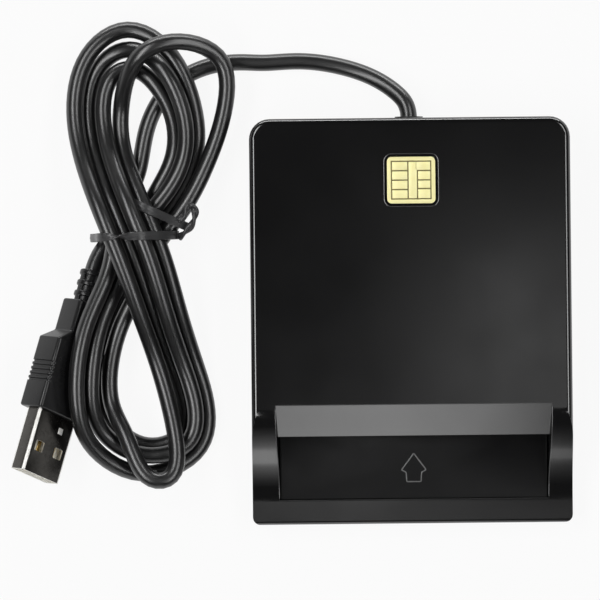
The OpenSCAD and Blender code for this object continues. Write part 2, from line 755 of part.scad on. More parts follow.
// Contact springs of one row: root, arm and rounded nose; dir is the way from root to nose
module contact_row(pivot, dir) {
    nose_y = spring_l * dir;
    nose_z = slot_z + tip_clear + tip_r;
    color(gold) for (i = [0:contacts - 1]) {
        x = chip_x + (i - (contacts - 1) / 2) * pitch;
        translate([x - finger_w / 2, pivot, 0]) {
            run = nose_z - finger_z;
            rotate_from = atan2(run, spring_l) * dir;
            translate([0, 0, finger_z]) rotate([rotate_from, 0, 0])
                translate([0, min(0, nose_y), -finger_t / 2])
                    cube([finger_w, spring_l, finger_t]);
            translate([0, nose_y, nose_z]) rotate([0, 90, 0]) cylinder(h = finger_w, r = tip_r);
            translate([0, dir > 0 ? -root_l : 0, finger_z - finger_t / 2])
                cube([finger_w, root_l, finger_t]);
        }
    }
}

module contact_row_front() {
    contact_row(pivot_front, 1);
}

module contact_row_rear() {
    contact_row(pivot_rear, -1);
}

module switch_case() {
    low = switch_pin_z - switch_pin_d;
    color(ivory) difference() {
        translate([switch_x - switch_w / 2, switch_y - switch_l / 2, low])
            cube([switch_w, switch_l, board_z - low]);
        translate([switch_x - switch_w / 2 + ear_t, switch_y - switch_l / 2 - over, low - over])
            cube([switch_w - 2 * ear_t, switch_l + 2 * over, 2 * switch_pin_d + over]);
        translate([switch_x - switch_w / 2 - over, switch_y, switch_pin_z]) rotate([0, 90, 0])
            cylinder(h = switch_w + 2 * over, d = switch_pin_d + fit);
    }
}

module switch_lever() {
    w = switch_w - 2 * ear_t - 4 * fit;
    color(soft_black) {
        translate([switch_x - switch_w / 2 + fit, switch_y, switch_pin_z]) rotate([0, 90, 0])
            cylinder(h = switch_w - 2 * fit, d = switch_pin_d);
        translate([switch_x - w / 2, switch_y - lever_t / 2, switch_pin_z - lever_reach + lever_t / 2])
            cube([w, lever_t, lever_reach - lever_t / 2]);
        translate([switch_x - w / 2, switch_y, switch_pin_z - lever_reach + lever_t / 2])
            rotate([0, 90, 0]) cylinder(h = w, d = lever_t);
    }
}

module controller_chip() {
    color(soft_black) translate([0, chip_y, board_top]) {
        translate([-chip_w / 2, -chip_w / 2, leg_t]) cube([chip_w, chip_w, chip_h - leg_t]);
        for (turn = [0:90:270], i = [0:legs - 1]) rotate(turn)
            translate([(i - (legs - 1) / 2) * leg_pitch - leg_w / 2, chip_w / 2 - leg_l / 2, 0])
                cube([leg_w, leg_l, 2 * leg_t]);
    }
}

module crystal() {
    color(steel) translate([crystal_x, chip_y, board_top])
        rounded_plate(crystal_w, crystal_l, crystal_l / 4, crystal_h);
}

module smalls_row(x, y, h) {
    for (i = [0:smalls - 1])
        translate([x + (i - (smalls - 1) / 2) * small_pitch - small_w / 2, y, board_top])
            cube([small_w, small_l, h]);
}

module capacitors() {
    color([0.75, 0.6, 0.42]) smalls_row(-res_x, cap_y, cap_h);
}

module resistors() {
    color(soft_black) smalls_row(res_x, res_y - small_pitch, res_h);
}

module wire_socket() {
    color(ivory) translate([socket_x, socket_y, board_z - socket_h]) difference() {
        translate([-socket_w / 2, -socket_d / 2, 0]) cube([socket_w, socket_d, socket_h]);
        translate([socket_wall - socket_w / 2, socket_wall - socket_d / 2, -over])
            cube([socket_w - 2 * socket_wall, socket_d - 2 * socket_wall,
                socket_h - socket_floor + over]);
    }
}

module wire_housing() {
    gap = socket_wall + fit;
    color([0.85, 0.84, 0.78]) translate([socket_x, socket_y, board_z - socket_h]) {
        translate([gap - socket_w / 2, gap - socket_d / 2, -housing_out]) difference() {
            cube([socket_w - 2 * gap, socket_d - 2 * gap, housing_in + housing_out]);
            for (i = [0:ways - 1])
                translate([socket_w / 2 - gap + (i - (ways - 1) / 2) * way,
                    socket_d / 2 - gap, -over])
                    cylinder(h = housing_out + over, d = wire_d + 2 * fit);
        }
    }
}

// Four wires from the cable's end to the socket, laid along the rear channel
module inner_leads() {
    start_y = lead_route[1][1];
    low = board_z - socket_h;
    for (i = [0:ways - 1]) {
        s = i - (ways - 1) / 2;
        end_x = socket_x + s * way;
        row = exit_z - s * wire_pitch;
        run = base_top + wire_d + (ways - 1 - i) * wire_pitch;
        p = [[0, start_y + wire_bend, row], [0, start_y, row], [0, start_y - wire_bend, row],
            [wire_bend, start_y - wire_bend, row], [2 * wire_bend, socket_y, (row + run) / 2],
            [4 * wire_bend, socket_y, run], [end_x - 2 * wire_bend, socket_y, run],
            [end_x - wire_bend / 2, socket_y, run], [end_x, socket_y, low - wire_bend],
            [end_x, socket_y, low - fit], [end_x, socket_y, low + wire_bend - 2 * fit]];
        color([[0.75, 0.08, 0.06], [0.85, 0.85, 0.85], [0.1, 0.5, 0.16], [0.06, 0.06, 0.06]][i])
            tube(curve(p, 3), p, wire_d, wire_d, hank_sides, [1, 1, 0]);
    }
}

module cord_grommet() {
    color(soft_black) difference() {
        union() {
            translate([0, rear_in, 0]) intersection() {
                neck_shape(0, wall);
                translate([-neck_w, -over, split_z]) cube([2 * neck_w, wall + 2 * over, body_h]);
            }
            translate([0, rear_y + flange_t, exit_z]) rotate([90, 0, 0]) cylinder(h = flange_t, d = flange_w);
            translate([0, rear_in, exit_z]) rotate([90, 0, 0]) cylinder(h = inner_flange_t, d = flange_w - fit);
        }
        translate([0, rear_y + flange_t + over, exit_z]) rotate([90, 0, 0])
            cylinder(h = body_l, d = cord_d + fit);
    }
}

module screw(d, l, hd, hh) {
    cylinder(h = l, d = d);
    difference() {
        translate([0, 0, -hh]) cylinder(h = hh, d = hd);
        for (a = [0, 90]) rotate(a) translate([-hd * cross_share / 2, -cross_w / 2, -hh - over])
            cube([hd * cross_share, cross_w, hh / 2 + over]);
    }
}

module case_screws() {
    color(steel) for (x = flip(boss_x), y = [boss_front, boss_rear])
        translate([x, y, stand + head_sink]) screw(screw_d, screw_l - head_h, head_d, head_h);
}

module board_screws() {
    color(steel) for (x = flip(post_x)) translate([x, ear_y, board_top])
        rotate([180, 0, 0]) screw(board_screw_d, board_screw_l, board_head_d, board_head_h);
}

module foot(x, y) {
    color(soft_black) translate([x, y, 0]) {
        cylinder(h = foot_edge, d1 = foot_d - 2 * foot_edge, d2 = foot_d);
        translate([0, 0, foot_edge]) cylinder(h = stand + foot_sink - foot_edge, d = foot_d);
    }
}

module foot_front_left() {
    foot(-foot_x, front_y + foot_inset);
}

module foot_front_right() {
    foot(foot_x, front_y + foot_inset);
}

module foot_rear_left() {
    foot(-foot_x, rear_y - foot_inset);
}

module foot_rear_right() {
    foot(foot_x, rear_y - foot_inset);
}

module cord_lead() {
    p = curve(cord_route, samples);
    echo(lead_length = total(steps(curve(cord_route, fine_samples))));
    color(soft_black) tube(p, cord_route, cord_d, cord_d, lead_sides);
}

module cord_hank() {
    fine = curve(hank_route, fine_samples);
    echo(hank_length = total(steps(fine)), hank_least_gap = least_gap(fine, cord_d, same_run));
    color(soft_black) tube(curve(hank_route, samples), hank_route, cord_d, cord_d, hank_sides);
}

// Puts a piece of the plug where the cable ends, with Z along the plug
module plug_place() {
    translate(place(curve(run_out, 1)[2])) rotate([0, 90 - plug_rise, plug_turn + hank_turn])
        rotate(90 - plug_roll) children();
}

module plug_strain_relief() {
    slot = relief_l / (2 * relief_slots);
    color(soft_black) plug_place() difference() {
        cylinder(h = relief_l, d = relief_d);
        for (i = [0:relief_slots - 1]) translate([0, 0, (2 * i + 1) * slot]) difference() {
            cylinder(h = slot, d = relief_d + over);
            translate([0, 0, -over]) cylinder(h = slot + 2 * over, d = relief_core);
            for (a = [0, 90]) rotate(a)
                translate([-relief_d, -relief_d / 8, -over]) cube([2 * relief_d, relief_d / 4, slot + 2 * over]);
        }
    }
}

module rounded_bar(w, t, r, h) {
    linear_extrude(h) {
        square([w - 2 * r, t], center = true);
        square([w, t - 2 * r], center = true);
        for (x = flip(w / 2 - r), y = flip(t / 2 - r)) translate([x, y]) circle(r, $fn = blend_fn);
    }
}

module plug_grip() {
    groove_s = grip_start + grip_l * groove_share - grooves * groove_pitch;
    color(soft_black) plug_place() difference() {
        union() {
            translate([0, 0, relief_l]) rounded_bar(neck_block_w, neck_block_t, grip_r, neck_block_l);
            hull() {
                translate([0, 0, relief_l + neck_block_l - fit])
                    rounded_bar(neck_block_w, neck_block_t, grip_r, fit);
                translate([0, 0, grip_start]) rounded_bar(grip_w, grip_t, grip_r, fit);
            }
            translate([0, 0, grip_start]) rounded_bar(grip_w, grip_t, grip_r, grip_l);
        }
        translate([0, 0, grip_end - shell_in]) linear_extrude(shell_in + over)
            square([shell_w, shell_t], center = true);
        for (i = [0:grooves - 1], x = flip(grip_w / 2))
            translate([x - groove_d, -grip_t / 2 + grip_r, groove_s + i * groove_pitch])
                cube([2 * groove_d, grip_t - 2 * grip_r, groove_w]);
    }
}

module plug_shell() {
    s = grip_end - shell_in;
    l = shell_in + shell_l;
    color(steel) plug_place() difference() {
        translate([-shell_w / 2, -shell_t / 2, s]) cube([shell_w, shell_t, l]);
        translate([shell_skin - shell_w / 2, shell_skin - shell_t / 2, s + shell_skin])
            cube([shell_w - 2 * shell_skin, shell_t - 2 * shell_skin, l]);
        for (x = flip(window_x)) translate([x - window_size / 2, -shell_t, grip_end + window_s])
            cube([window_size, 2 * shell_t, window_size]);
    }
}

module plug_tongue() {
    s = grip_end - shell_in + shell_skin;
    l = shell_in + shell_l - shell_skin - tongue_back;
    color(ivory) plug_place()
        translate([shell_skin - shell_w / 2, shell_skin - shell_t / 2, s])
            cube([shell_w - 2 * shell_skin, tongue_t, l]);
}

module plug_contacts() {
    s = grip_end + shell_l - tongue_back - strip_l - strip_w;
    color(gold) plug_place() for (i = [0:strips - 1])
        translate([(i - (strips - 1) / 2) * strip_pitch - strip_w / 2,
            shell_skin - shell_t / 2 + tongue_t, s]) cube([strip_w, strip_t, strip_l]);
}

// Smooth closed ring through the points of a loop of the tie
function tie_ring(t) =
    let (q = [for (p = t[2]) place([t[0][0] + p[0] * cos(t[1]), t[0][1] + p[0] * sin(t[1]), p[1]])],
         n = len(q))
    [for (i = [0:n - 1], k = [0:tie_steps - 1])
        blend_at(q[i], q[(i + 1) % n], q[(i + 2) % n], q[(i + 3) % n], k / tie_steps)];

module twist_tie() {
    tail = [for (p = tie_tail) place(p)];
    color(black) {
        for (t = tie_loops)
            band(tie_ring(t), [-sin(t[1] + hank_turn), cos(t[1] + hank_turn), 0], tie_w, tie_t);
        tube(curve(tail, tie_steps), tail, tail_d, tail_d, hank_sides);
    }
}

top_cover();
bottom_cover();
chip_emblem();
circuit_board();
connector_frame();
contact_row_front();
contact_row_rear();
switch_case();
switch_lever();
controller_chip();
crystal();
capacitors();
resistors();
wire_socket();
wire_housing();
inner_leads();
cord_grommet();
case_screws();
board_screws();
foot_front_left();
foot_front_right();
foot_rear_left();
foot_rear_right();
cord_lead();
cord_hank();
plug_strain_relief();
plug_grip();
plug_shell();
plug_tongue();
plug_contacts();
twist_tie();
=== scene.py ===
import math

import bmesh
import bpy
from mathutils import Matrix, Vector


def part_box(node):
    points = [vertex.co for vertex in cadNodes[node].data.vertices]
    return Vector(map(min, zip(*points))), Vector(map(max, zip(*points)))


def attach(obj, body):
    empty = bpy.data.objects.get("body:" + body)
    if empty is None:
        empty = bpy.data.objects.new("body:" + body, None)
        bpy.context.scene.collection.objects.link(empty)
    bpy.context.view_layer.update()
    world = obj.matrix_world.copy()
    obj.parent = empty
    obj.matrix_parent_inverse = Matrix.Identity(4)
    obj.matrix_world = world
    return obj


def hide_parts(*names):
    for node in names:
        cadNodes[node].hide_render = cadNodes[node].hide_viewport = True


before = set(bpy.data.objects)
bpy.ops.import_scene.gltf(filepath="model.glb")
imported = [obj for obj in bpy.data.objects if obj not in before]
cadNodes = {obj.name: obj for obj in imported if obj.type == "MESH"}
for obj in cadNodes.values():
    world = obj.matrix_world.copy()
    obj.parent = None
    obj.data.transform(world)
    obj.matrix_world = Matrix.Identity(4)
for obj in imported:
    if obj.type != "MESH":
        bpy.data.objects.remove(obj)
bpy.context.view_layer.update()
scene = bpy.context.scene
mm = 0.001
print("frame loaded,", len(cadNodes), "nodes")


# the camera looks straight down, from where the photograph was taken
photoView = {
    "side": 600,                   # width and height of the photograph, px
    "pxPerMm": 4.285,              # at the height of the top face
    "distance": 2000,              # mm from the lens to the top face
    "caseMiddlePx": (411.4, 321),
    "roll": -0.6,                  # degrees
    "sensor": 36,
}


def makeCamera(view):
    low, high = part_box("top_cover")
    turn = math.radians(view["roll"])
    right = Vector((math.cos(turn), math.sin(turn), 0))
    up = Vector((-math.sin(turn), math.cos(turn), 0))
    half = view["side"] / 2
    across = (view["caseMiddlePx"][0] - half) / view["pxPerMm"] * mm
    above = (half - view["caseMiddlePx"][1]) / view["pxPerMm"] * mm
    place = -(across * right + above * up)
    data = bpy.data.cameras.new("camera")
    data.sensor_width = view["sensor"]
    data.lens = view["pxPerMm"] * view["distance"] / view["side"] * view["sensor"]
    data.clip_end = 100
    camera = bpy.data.objects.new("camera", data)
    scene.collection.objects.link(camera)
    camera.location = (place.x, place.y, high[2] + view["distance"] * mm)
    camera.rotation_euler = (0, 0, turn)
    scene.camera = camera


makeCamera(photoView)
print("camera made")


# meshes: lengths in mm, angles in degrees
smoothTo = 35                      # an edge sharper than this stays sharp
sweepSmoothTo = 50
bevelFrom = 30
weld = {"made": 0.002, "cad": 0.004}
flatTo = 0.6                       # CAD faces that meet at less than this become one
over = 1                           # how far a cutting tool passes through
upright = Vector((0, 0, 1))


def addPiece(name, mesh, finishes, replaces, body="base"):
    # the finishes become the mesh's material slots, in order; a mesh given none keeps its own
    piece = bpy.data.objects.new(name, mesh)
    scene.collection.objects.link(piece)
    for material in finishes:
        mesh.materials.append(finish[material])
    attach(piece, body)
    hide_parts(*replaces)
    return piece


def meshFrom(points, faces):
    mesh = bpy.data.meshes.new("piece")
    mesh.from_pydata([tuple(p) for p in points], [], faces)
    mesh.update()
    return mesh


def edited(mesh, change):
    work = bmesh.new()
    work.from_mesh(mesh)
    change(work)
    work.to_mesh(mesh)
    work.free()
    return mesh


def markEdges(mesh, degrees=smoothTo):
    # smooth faces, with sharp edges where they meet at more than this angle
    def mark(work):
        for face in work.faces:
            face.smooth = True
        for edge in work.edges:
            joins = len(edge.link_faces) == 2
            edge.smooth = joins and edge.calc_face_angle(0) < math.radians(degrees)
    return edited(mesh, mark)


def facesOut(mesh):
    def turn(work):
        bmesh.ops.remove_doubles(work, verts=work.verts, dist=weld["made"] * mm)
        bmesh.ops.recalc_face_normals(work, faces=work.faces)
    return edited(mesh, turn)


def settle(mesh, modify, degrees=smoothTo):
    # runs the modifiers that modify() adds and returns the plain mesh that they make
    holder = bpy.data.objects.new("holder", mesh)
    scene.collection.objects.link(holder)
    modify(holder)
    graph = bpy.context.evaluated_depsgraph_get()
    settled = bpy.data.meshes.new_from_object(
        holder.evaluated_get(graph), preserve_all_data_layers=True, depsgraph=graph)
    bpy.data.objects.remove(holder)
    return markEdges(settled, degrees) if degrees else settled


def addBevel(holder, width, segments, method):
    bevel = holder.modifiers.new("bevel", "BEVEL")
    bevel.width = width * mm
    bevel.segments = segments
    bevel.limit_method = method
    bevel.angle_limit = math.radians(bevelFrom)


def bevelled(mesh, width, segments=3):
    return settle(mesh, lambda holder: addBevel(holder, width, segments, "ANGLE"))


def softCopy(node, width, segments=2, fine=(), fineWidth=0, extra=None):
    # a CAD node's mesh with its flat areas joined up and its edges rounded, less so inside
    # the fine boxes, each a lowest and a highest corner
    mesh = cadNodes[node].data.copy()
    mesh.materials.clear()

    def soften(work):
        bmesh.ops.remove_doubles(work, verts=work.verts, dist=weld["cad"] * mm)
        bmesh.ops.dissolve_limit(work, angle_limit=math.radians(flatTo), verts=work.verts,
                                 edges=work.edges)
        if extra:
            work.from_mesh(extra)
        weight = work.edges.layers.float.new("bevel_weight_edge")
        for face in work.faces:
            face.smooth = True
        for edge in work.edges:
            if edge.calc_face_angle(0) < math.radians(bevelFrom):
                continue
            middle = (edge.verts[0].co + edge.verts[1].co) / 2 / mm
            isFine = any(all(a <= b <= c for a, b, c in zip(low, middle, high))
                         for low, high in fine)
            edge[weight] = fineWidth / width if isFine else 1

    def modify(holder):
        addBevel(holder, width, segments, "WEIGHT")
        holder.modifiers.new("normals", "WEIGHTED_NORMAL")
    return settle(edited(mesh, soften), modify, None)


def tubeFaces(count, rings, closed=False):
    # faces between rings of points, and flat ends unless the tube is closed
    faces = []
    for j in range(rings if closed else rings - 1):
        n = (j + 1) % rings
        for i in range(count):
            k = (i + 1) % count
            faces.append((j * count + i, j * count + k, n * count + k, n * count + i))
    if not closed:
        faces.append(tuple(reversed(range(count))))
        faces.append(tuple((rings - 1) * count + i for i in range(count)))
    return faces


def loft(rings):
    # rings of equal length, each a list of (x, y, z)
    return meshFrom([Vector(p) * mm for ring in rings for p in ring],
                    tubeFaces(len(rings[0]), len(rings)))


def circle(diameter, sides):
    ways = [2 * math.pi * i / sides for i in range(sides)]
    return [(diameter / 2 * math.cos(a), diameter / 2 * math.sin(a)) for a in ways]


def lathe(profile, sides=32):
    # turns (radius, height) pairs about Z
    return markEdges(facesOut(loft([[(x, y, height) for x, y in circle(2 * radius, sides)]
                                    for radius, height in profile])))


def arc(cx, cz, r, start, end, steps=4):
    # points of a rounded corner in a profile
    ways = [math.radians(start + (end - start) * i / steps) for i in range(steps + 1)]
    return [(cx + r * math.cos(a), cz + r * math.sin(a)) for a in ways]


def roundedRing(w, t, r, perCorner=6):
    # rounded rectangle in X and Y, anticlockwise
    ring = []
    for sx, sy, first in ((1, 1, 0), (-1, 1, 90), (-1, -1, 180), (1, -1, 270)):
        ring += arc(sx * (w / 2 - r), sy * (t / 2 - r), r, first, first + 90, perCorner)
    return ring


def ringAt(middle, z, *ring):
    return [(x + middle[0], y + middle[1], z) for x, y in roundedRing(*ring)]


def boxMesh(low, high):
    corners = [(x, y, z) for z in (low[2], high[2]) for y in (low[1], high[1])
               for x in (low[0], high[0])]
    faces = [(0, 2, 3, 1), (4, 5, 7, 6), (0, 1, 5, 4), (2, 6, 7, 3), (0, 4, 6, 2), (1, 3, 7, 5)]
    return meshFrom([Vector(c) * mm for c in corners], faces)


def joined(meshes):
    out = bpy.data.meshes.new("joined")
    work = bmesh.new()
    for mesh in meshes:
        work.from_mesh(mesh)
    work.to_mesh(out)
    work.free()
    return out


def painted(mesh, number):
    # every face takes the material of this number
    for face in mesh.polygons:
        face.material_index = number
    return mesh


def dressed(*layers):
    # joins meshes, each given with the number of its material
    return joined([painted(mesh, number) for mesh, number in layers])


def moved(mesh, matrix):
    mesh.transform(matrix)
    return mesh


def put(mesh, *place):
    return moved(mesh, Matrix.Translation(Vector(place) * mm))


def cut(mesh, *tools):
    cutters = []

    def modify(holder):
        for tool in tools:
            cutter = bpy.data.objects.new("cutter", tool)
            scene.collection.objects.link(cutter)
            boolean = holder.modifiers.new("cut", "BOOLEAN")
            boolean.operation = "DIFFERENCE"
            boolean.solver = "EXACT"
            boolean.object = cutter
            cutters.append(cutter)
    out = settle(mesh, modify)
    for cutter in cutters:
        bpy.data.objects.remove(cutter)
    return out


def boxOf(node):
    # lowest and highest corner of a CAD node
    low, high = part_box(node)
    return Vector(low) / mm, Vector(high) / mm


# Geometry Nodes: repeats the mesh it is given in a row, each copy turned a little further
def rowTree():
    tree = bpy.data.node_groups.new("rowOfPieces", "GeometryNodeTree")
    face = tree.interface
    face.new_socket("Geometry", in_out="INPUT", socket_type="NodeSocketGeometry")
    for label, kind in (("Count", "NodeSocketInt"), ("Step", "NodeSocketVector"),
                        ("Turn", "NodeSocketFloat"), ("Finish", "NodeSocketMaterial")):
        face.new_socket(label, in_out="INPUT", socket_type=kind)
    face.new_socket("Geometry", in_out="OUTPUT", socket_type="NodeSocketGeometry")
    add = tree.nodes.new
    given, out = add("NodeGroupInput"), add("NodeGroupOutput")
    line = add("GeometryNodeMeshLine")
    line.mode = "OFFSET"
    index, spin = add("GeometryNodeInputIndex"), add("ShaderNodeMath")
    facing = add("ShaderNodeCombineXYZ")
    spin.operation = "MULTIPLY"
    copies, real = add("GeometryNodeInstanceOnPoints"), add("GeometryNodeRealizeInstances")
    finish = add("GeometryNodeSetMaterial")
    join = tree.links.new
    join(given.outputs["Count"], line.inputs["Count"])
    join(given.outputs["Step"], line.inputs["Offset"])
    join(index.outputs[0], spin.inputs[0])
    join(given.outputs["Turn"], spin.inputs[1])
    join(spin.outputs[0], facing.inputs["Z"])
    join(line.outputs[0], copies.inputs["Points"])
    join(given.outputs["Geometry"], copies.inputs["Instance"])
    join(facing.outputs[0], copies.inputs["Rotation"])
    join(copies.outputs[0], real.inputs[0])
    join(real.outputs[0], finish.inputs["Geometry"])
    join(given.outputs["Finish"], finish.inputs["Material"])
    join(finish.outputs[0], out.inputs[0])
    return tree


rows = rowTree()


def inRow(mesh, count, step=(0, 0, 0), turn=0, material=None):
    def modify(holder):
        row = holder.modifiers.new("row", "NODES")
        row.node_group = rows
        values = {"Count": count, "Step": tuple(s * mm for s in step), "Turn": math.radians(turn),
                  "Finish": finish[material]}
        for item in rows.interface.items_tree:
            if item.in_out == "INPUT" and item.name in values:
                row[item.identifier] = values[item.name]
    return settle(mesh, modify)


# materials: one plain recipe, with mottling, uneven gloss and grain where a finish has them
# detail of the noise, and the range of it that counts
patches = {"mottle": (4, 0.35, 0.7), "uneven": (5, 0.3, 0.75)}
grainDetail = 3


def finishNamed(name, colour, roughness, metallic=0, specular=0.5, mottle=None, uneven=None,
                grain=None, stretch=None):
    # mottle: scale, second colour and its share; uneven: scale, lowest and highest roughness;
    # grain: scale, height of the relief in mm and its strength
    material = bpy.data.materials.new(name)
    material.use_nodes = True
    tree = material.node_tree
    add, join = tree.nodes.new, tree.links.new
    shader = tree.nodes["Principled BSDF"]
    for label, value in (("Base Color", (*colour, 1)), ("Roughness", roughness),
                         ("Metallic", metallic), ("Specular IOR Level", specular)):
        shader.inputs[label].default_value = value
    where, spread = add("ShaderNodeTexCoord"), add("ShaderNodeMapping")
    join(where.outputs["Object"], spread.inputs["Vector"])
    if stretch:
        spread.inputs["Scale"].default_value = stretch

    def noise(scale, detail):
        texture = add("ShaderNodeTexNoise")
        texture.inputs["Scale"].default_value = scale
        texture.inputs["Detail"].default_value = detail
        join(spread.outputs[0], texture.inputs["Vector"])
        return texture.outputs["Fac"]

    def patch(kind, scale, low, high):
        detail, start, end = patches[kind]
        spots, ramp = noise(scale, detail), add("ShaderNodeMapRange")
        for label, value in (("From Min", start), ("From Max", end), ("To Min", low),
                             ("To Max", high)):
            ramp.inputs[label].default_value = value
        join(spots, ramp.inputs["Value"])
        return ramp.outputs[0]

    if mottle:
        scale, second, share = mottle
        spots, mix = patch("mottle", scale, 0, share), add("ShaderNodeMix")
        mix.data_type = "RGBA"
        mix.inputs["A"].default_value = (*colour, 1)
        mix.inputs["B"].default_value = (*second, 1)
        join(spots, mix.inputs["Factor"])
        join(mix.outputs["Result"], shader.inputs["Base Color"])
    if uneven:
        join(patch("uneven", *uneven), shader.inputs["Roughness"])
    if grain:
        scale, height, strength = grain
        bump = add("ShaderNodeBump")
        bump.inputs["Distance"].default_value = height * mm
        bump.inputs["Strength"].default_value = strength
        join(noise(scale, grainDetail), bump.inputs["Height"])
        join(bump.outputs[0], shader.inputs["Normal"])
    return material


finishes = {
    "case_black": dict(colour=(0.003, 0.003, 0.0032), roughness=0.12, specular=1,
                       uneven=(55, 0.1, 0.14), grain=(260, 0.002, 0.1)),
    "base_black": dict(colour=(0.003, 0.003, 0.0032), roughness=0.14,
                       uneven=(90, 0.12, 0.17), grain=(2600, 0.003, 0.15)),
    # lighter grey for the rims of the top cover: painted highlight along its edges
    "rim_painted_highlight": dict(colour=(0.055, 0.055, 0.056), roughness=0.2, specular=1,
                       grain=(2600, 0.003, 0.15)),
    # dull near-black for the thin band in the emblem's gap: painted shade
    "gap_painted_shade": dict(colour=(0.001, 0.001, 0.001), roughness=0.6, specular=0.1,
                      grain=(2600, 0.01, 0.2)),
    # light grey for the arrow's bead: painted highlight along its outline
    "arrow_painted_highlight": dict(colour=(0.14, 0.14, 0.14), roughness=0.4, grain=(2600, 0.003, 0.15)),
    "cord_pvc": dict(colour=(0.0035, 0.0035, 0.0038), roughness=0.32, specular=1,
                     uneven=(300, 0.3, 0.35), grain=(2600, 0.003, 0.05)),
    "plug_pvc": dict(colour=(0.006, 0.006, 0.0064), roughness=0.3, uneven=(400, 0.26, 0.36),
                     grain=(3500, 0.008, 0.3)),
    "tie_black": dict(colour=(0.035, 0.035, 0.036), roughness=0.36, uneven=(500, 0.32, 0.44),
                      grain=(2500, 0.006, 0.25)),
    "grommet_rubber": dict(colour=(0.006, 0.006, 0.006), roughness=0.5, grain=(3000, 0.02, 0.4)),
    "foot_rubber": dict(colour=(0.012, 0.012, 0.0125), roughness=0.75,
                        mottle=(900, (0.03, 0.03, 0.03), 0.5), grain=(1800, 0.05, 0.5)),
    # a bright copy of the shell's steel: painted highlight on its corners, lip and inside
    "shell_painted_highlight": dict(colour=(0.92, 0.91, 0.88), roughness=0.6, metallic=1,
                       uneven=(900, 0.5, 0.66)),
    # the shell's steel, darkened: painted shade for the dark reflections in its faces
    "shell_steel": dict(colour=(0.1, 0.096, 0.09), roughness=0.24, metallic=1,
                        mottle=(1600, (0.07, 0.066, 0.06), 0.6), uneven=(900, 0.2, 0.3),
                        grain=(3500, 0.003, 0.25)),
    "screw_steel": dict(colour=(0.5, 0.5, 0.5), roughness=0.35, metallic=1, uneven=(900, 0.3, 0.5)),
    "can_steel": dict(colour=(0.6, 0.6, 0.6), roughness=0.3, metallic=1,
                      grain=(900, 0.006, 0.3), stretch=(1, 12, 1)),
    "contact_gold": dict(colour=(0.83, 0.6, 0.24), roughness=0.25, metallic=1,
                         uneven=(1500, 0.2, 0.35)),
    "emblem_gold": dict(colour=(0.97, 0.9, 0.43), roughness=0.42, metallic=0.15,
                        mottle=(700, (1, 0.96, 0.55), 0.5), uneven=(900, 0.36, 0.5)),
    "emblem_line": dict(colour=(0.13, 0.11, 0.03), roughness=0.6,
                        mottle=(1500, (0.25, 0.22, 0.08), 0.6)),
    "ivory_plastic": dict(colour=(0.8, 0.78, 0.7), roughness=0.45,
                          mottle=(500, (0.74, 0.71, 0.62), 0.5), grain=(2500, 0.01, 0.3)),
    "frame_black": dict(colour=(0.014, 0.014, 0.015), roughness=0.55, grain=(2200, 0.03, 0.5)),
    "lever_black": dict(colour=(0.02, 0.02, 0.021), roughness=0.5, grain=(2500, 0.02, 0.4)),
    "chip_black": dict(colour=(0.015, 0.015, 0.016), roughness=0.6, grain=(3500, 0.03, 0.6)),
    "capacitor_tan": dict(colour=(0.42, 0.27, 0.13), roughness=0.5,
                          mottle=(1500, (0.5, 0.34, 0.18), 0.6)),
    "resistor_black": dict(colour=(0.012, 0.012, 0.016), roughness=0.3, grain=(1500, 0.01, 0.3)),
    "solder": dict(colour=(0.7, 0.7, 0.68), roughness=0.3, metallic=1, grain=(1200, 0.02, 0.4)),
}
for name, colour in (("wireRed", (0.55, 0.03, 0.02)), ("wireWhite", (0.75, 0.75, 0.73)),
                     ("wireGreen", (0.03, 0.3, 0.06)), ("wireBlack", (0.01, 0.01, 0.01))):
    finishes[name] = dict(colour=colour, roughness=0.4, grain=(1500, 0.01, 0.3))
lacquer = {
    "colour": (0.012, 0.11, 0.045), "roughness": 0.32, "grain": (1800, 0.01, 0.3), "scale": 420,
    "second": (0.014, 0.125, 0.05), "tracks": (0.03, 0.22, 0.09), "track": 0.06, "wide": 1.9,
    "high": 0.55,
}


def boardLacquer():
    # green, with fine tracks
    m = lacquer
    material = finishNamed("boardLacquer", m["colour"], m["roughness"], grain=m["grain"])
    tree = material.node_tree
    where, tracks = tree.nodes.new("ShaderNodeTexCoord"), tree.nodes.new("ShaderNodeTexBrick")
    for label, value in (("Scale", m["scale"]), ("Mortar Size", m["track"]),
                         ("Color1", (*m["colour"], 1)), ("Color2", (*m["second"], 1)),
                         ("Mortar", (*m["tracks"], 1)), ("Brick Width", m["wide"]),
                         ("Row Height", m["high"])):
        tracks.inputs[label].default_value = value
    tree.links.new(where.outputs["Object"], tracks.inputs["Vector"])
    tree.links.new(tracks.outputs["Color"], tree.nodes["Principled BSDF"].inputs["Base Color"])
    return material


finish = {name: finishNamed(name, **recipe) for name, recipe in finishes.items()}
finish["board"] = boardLacquer()
print("finishes made:", len(finish))


# the cord: its route in mm, in the same points as the part's source
def turned(x, y, degrees):
    a = math.radians(degrees)
    return x * math.cos(a) - y * math.sin(a), x * math.sin(a) + y * math.cos(a)


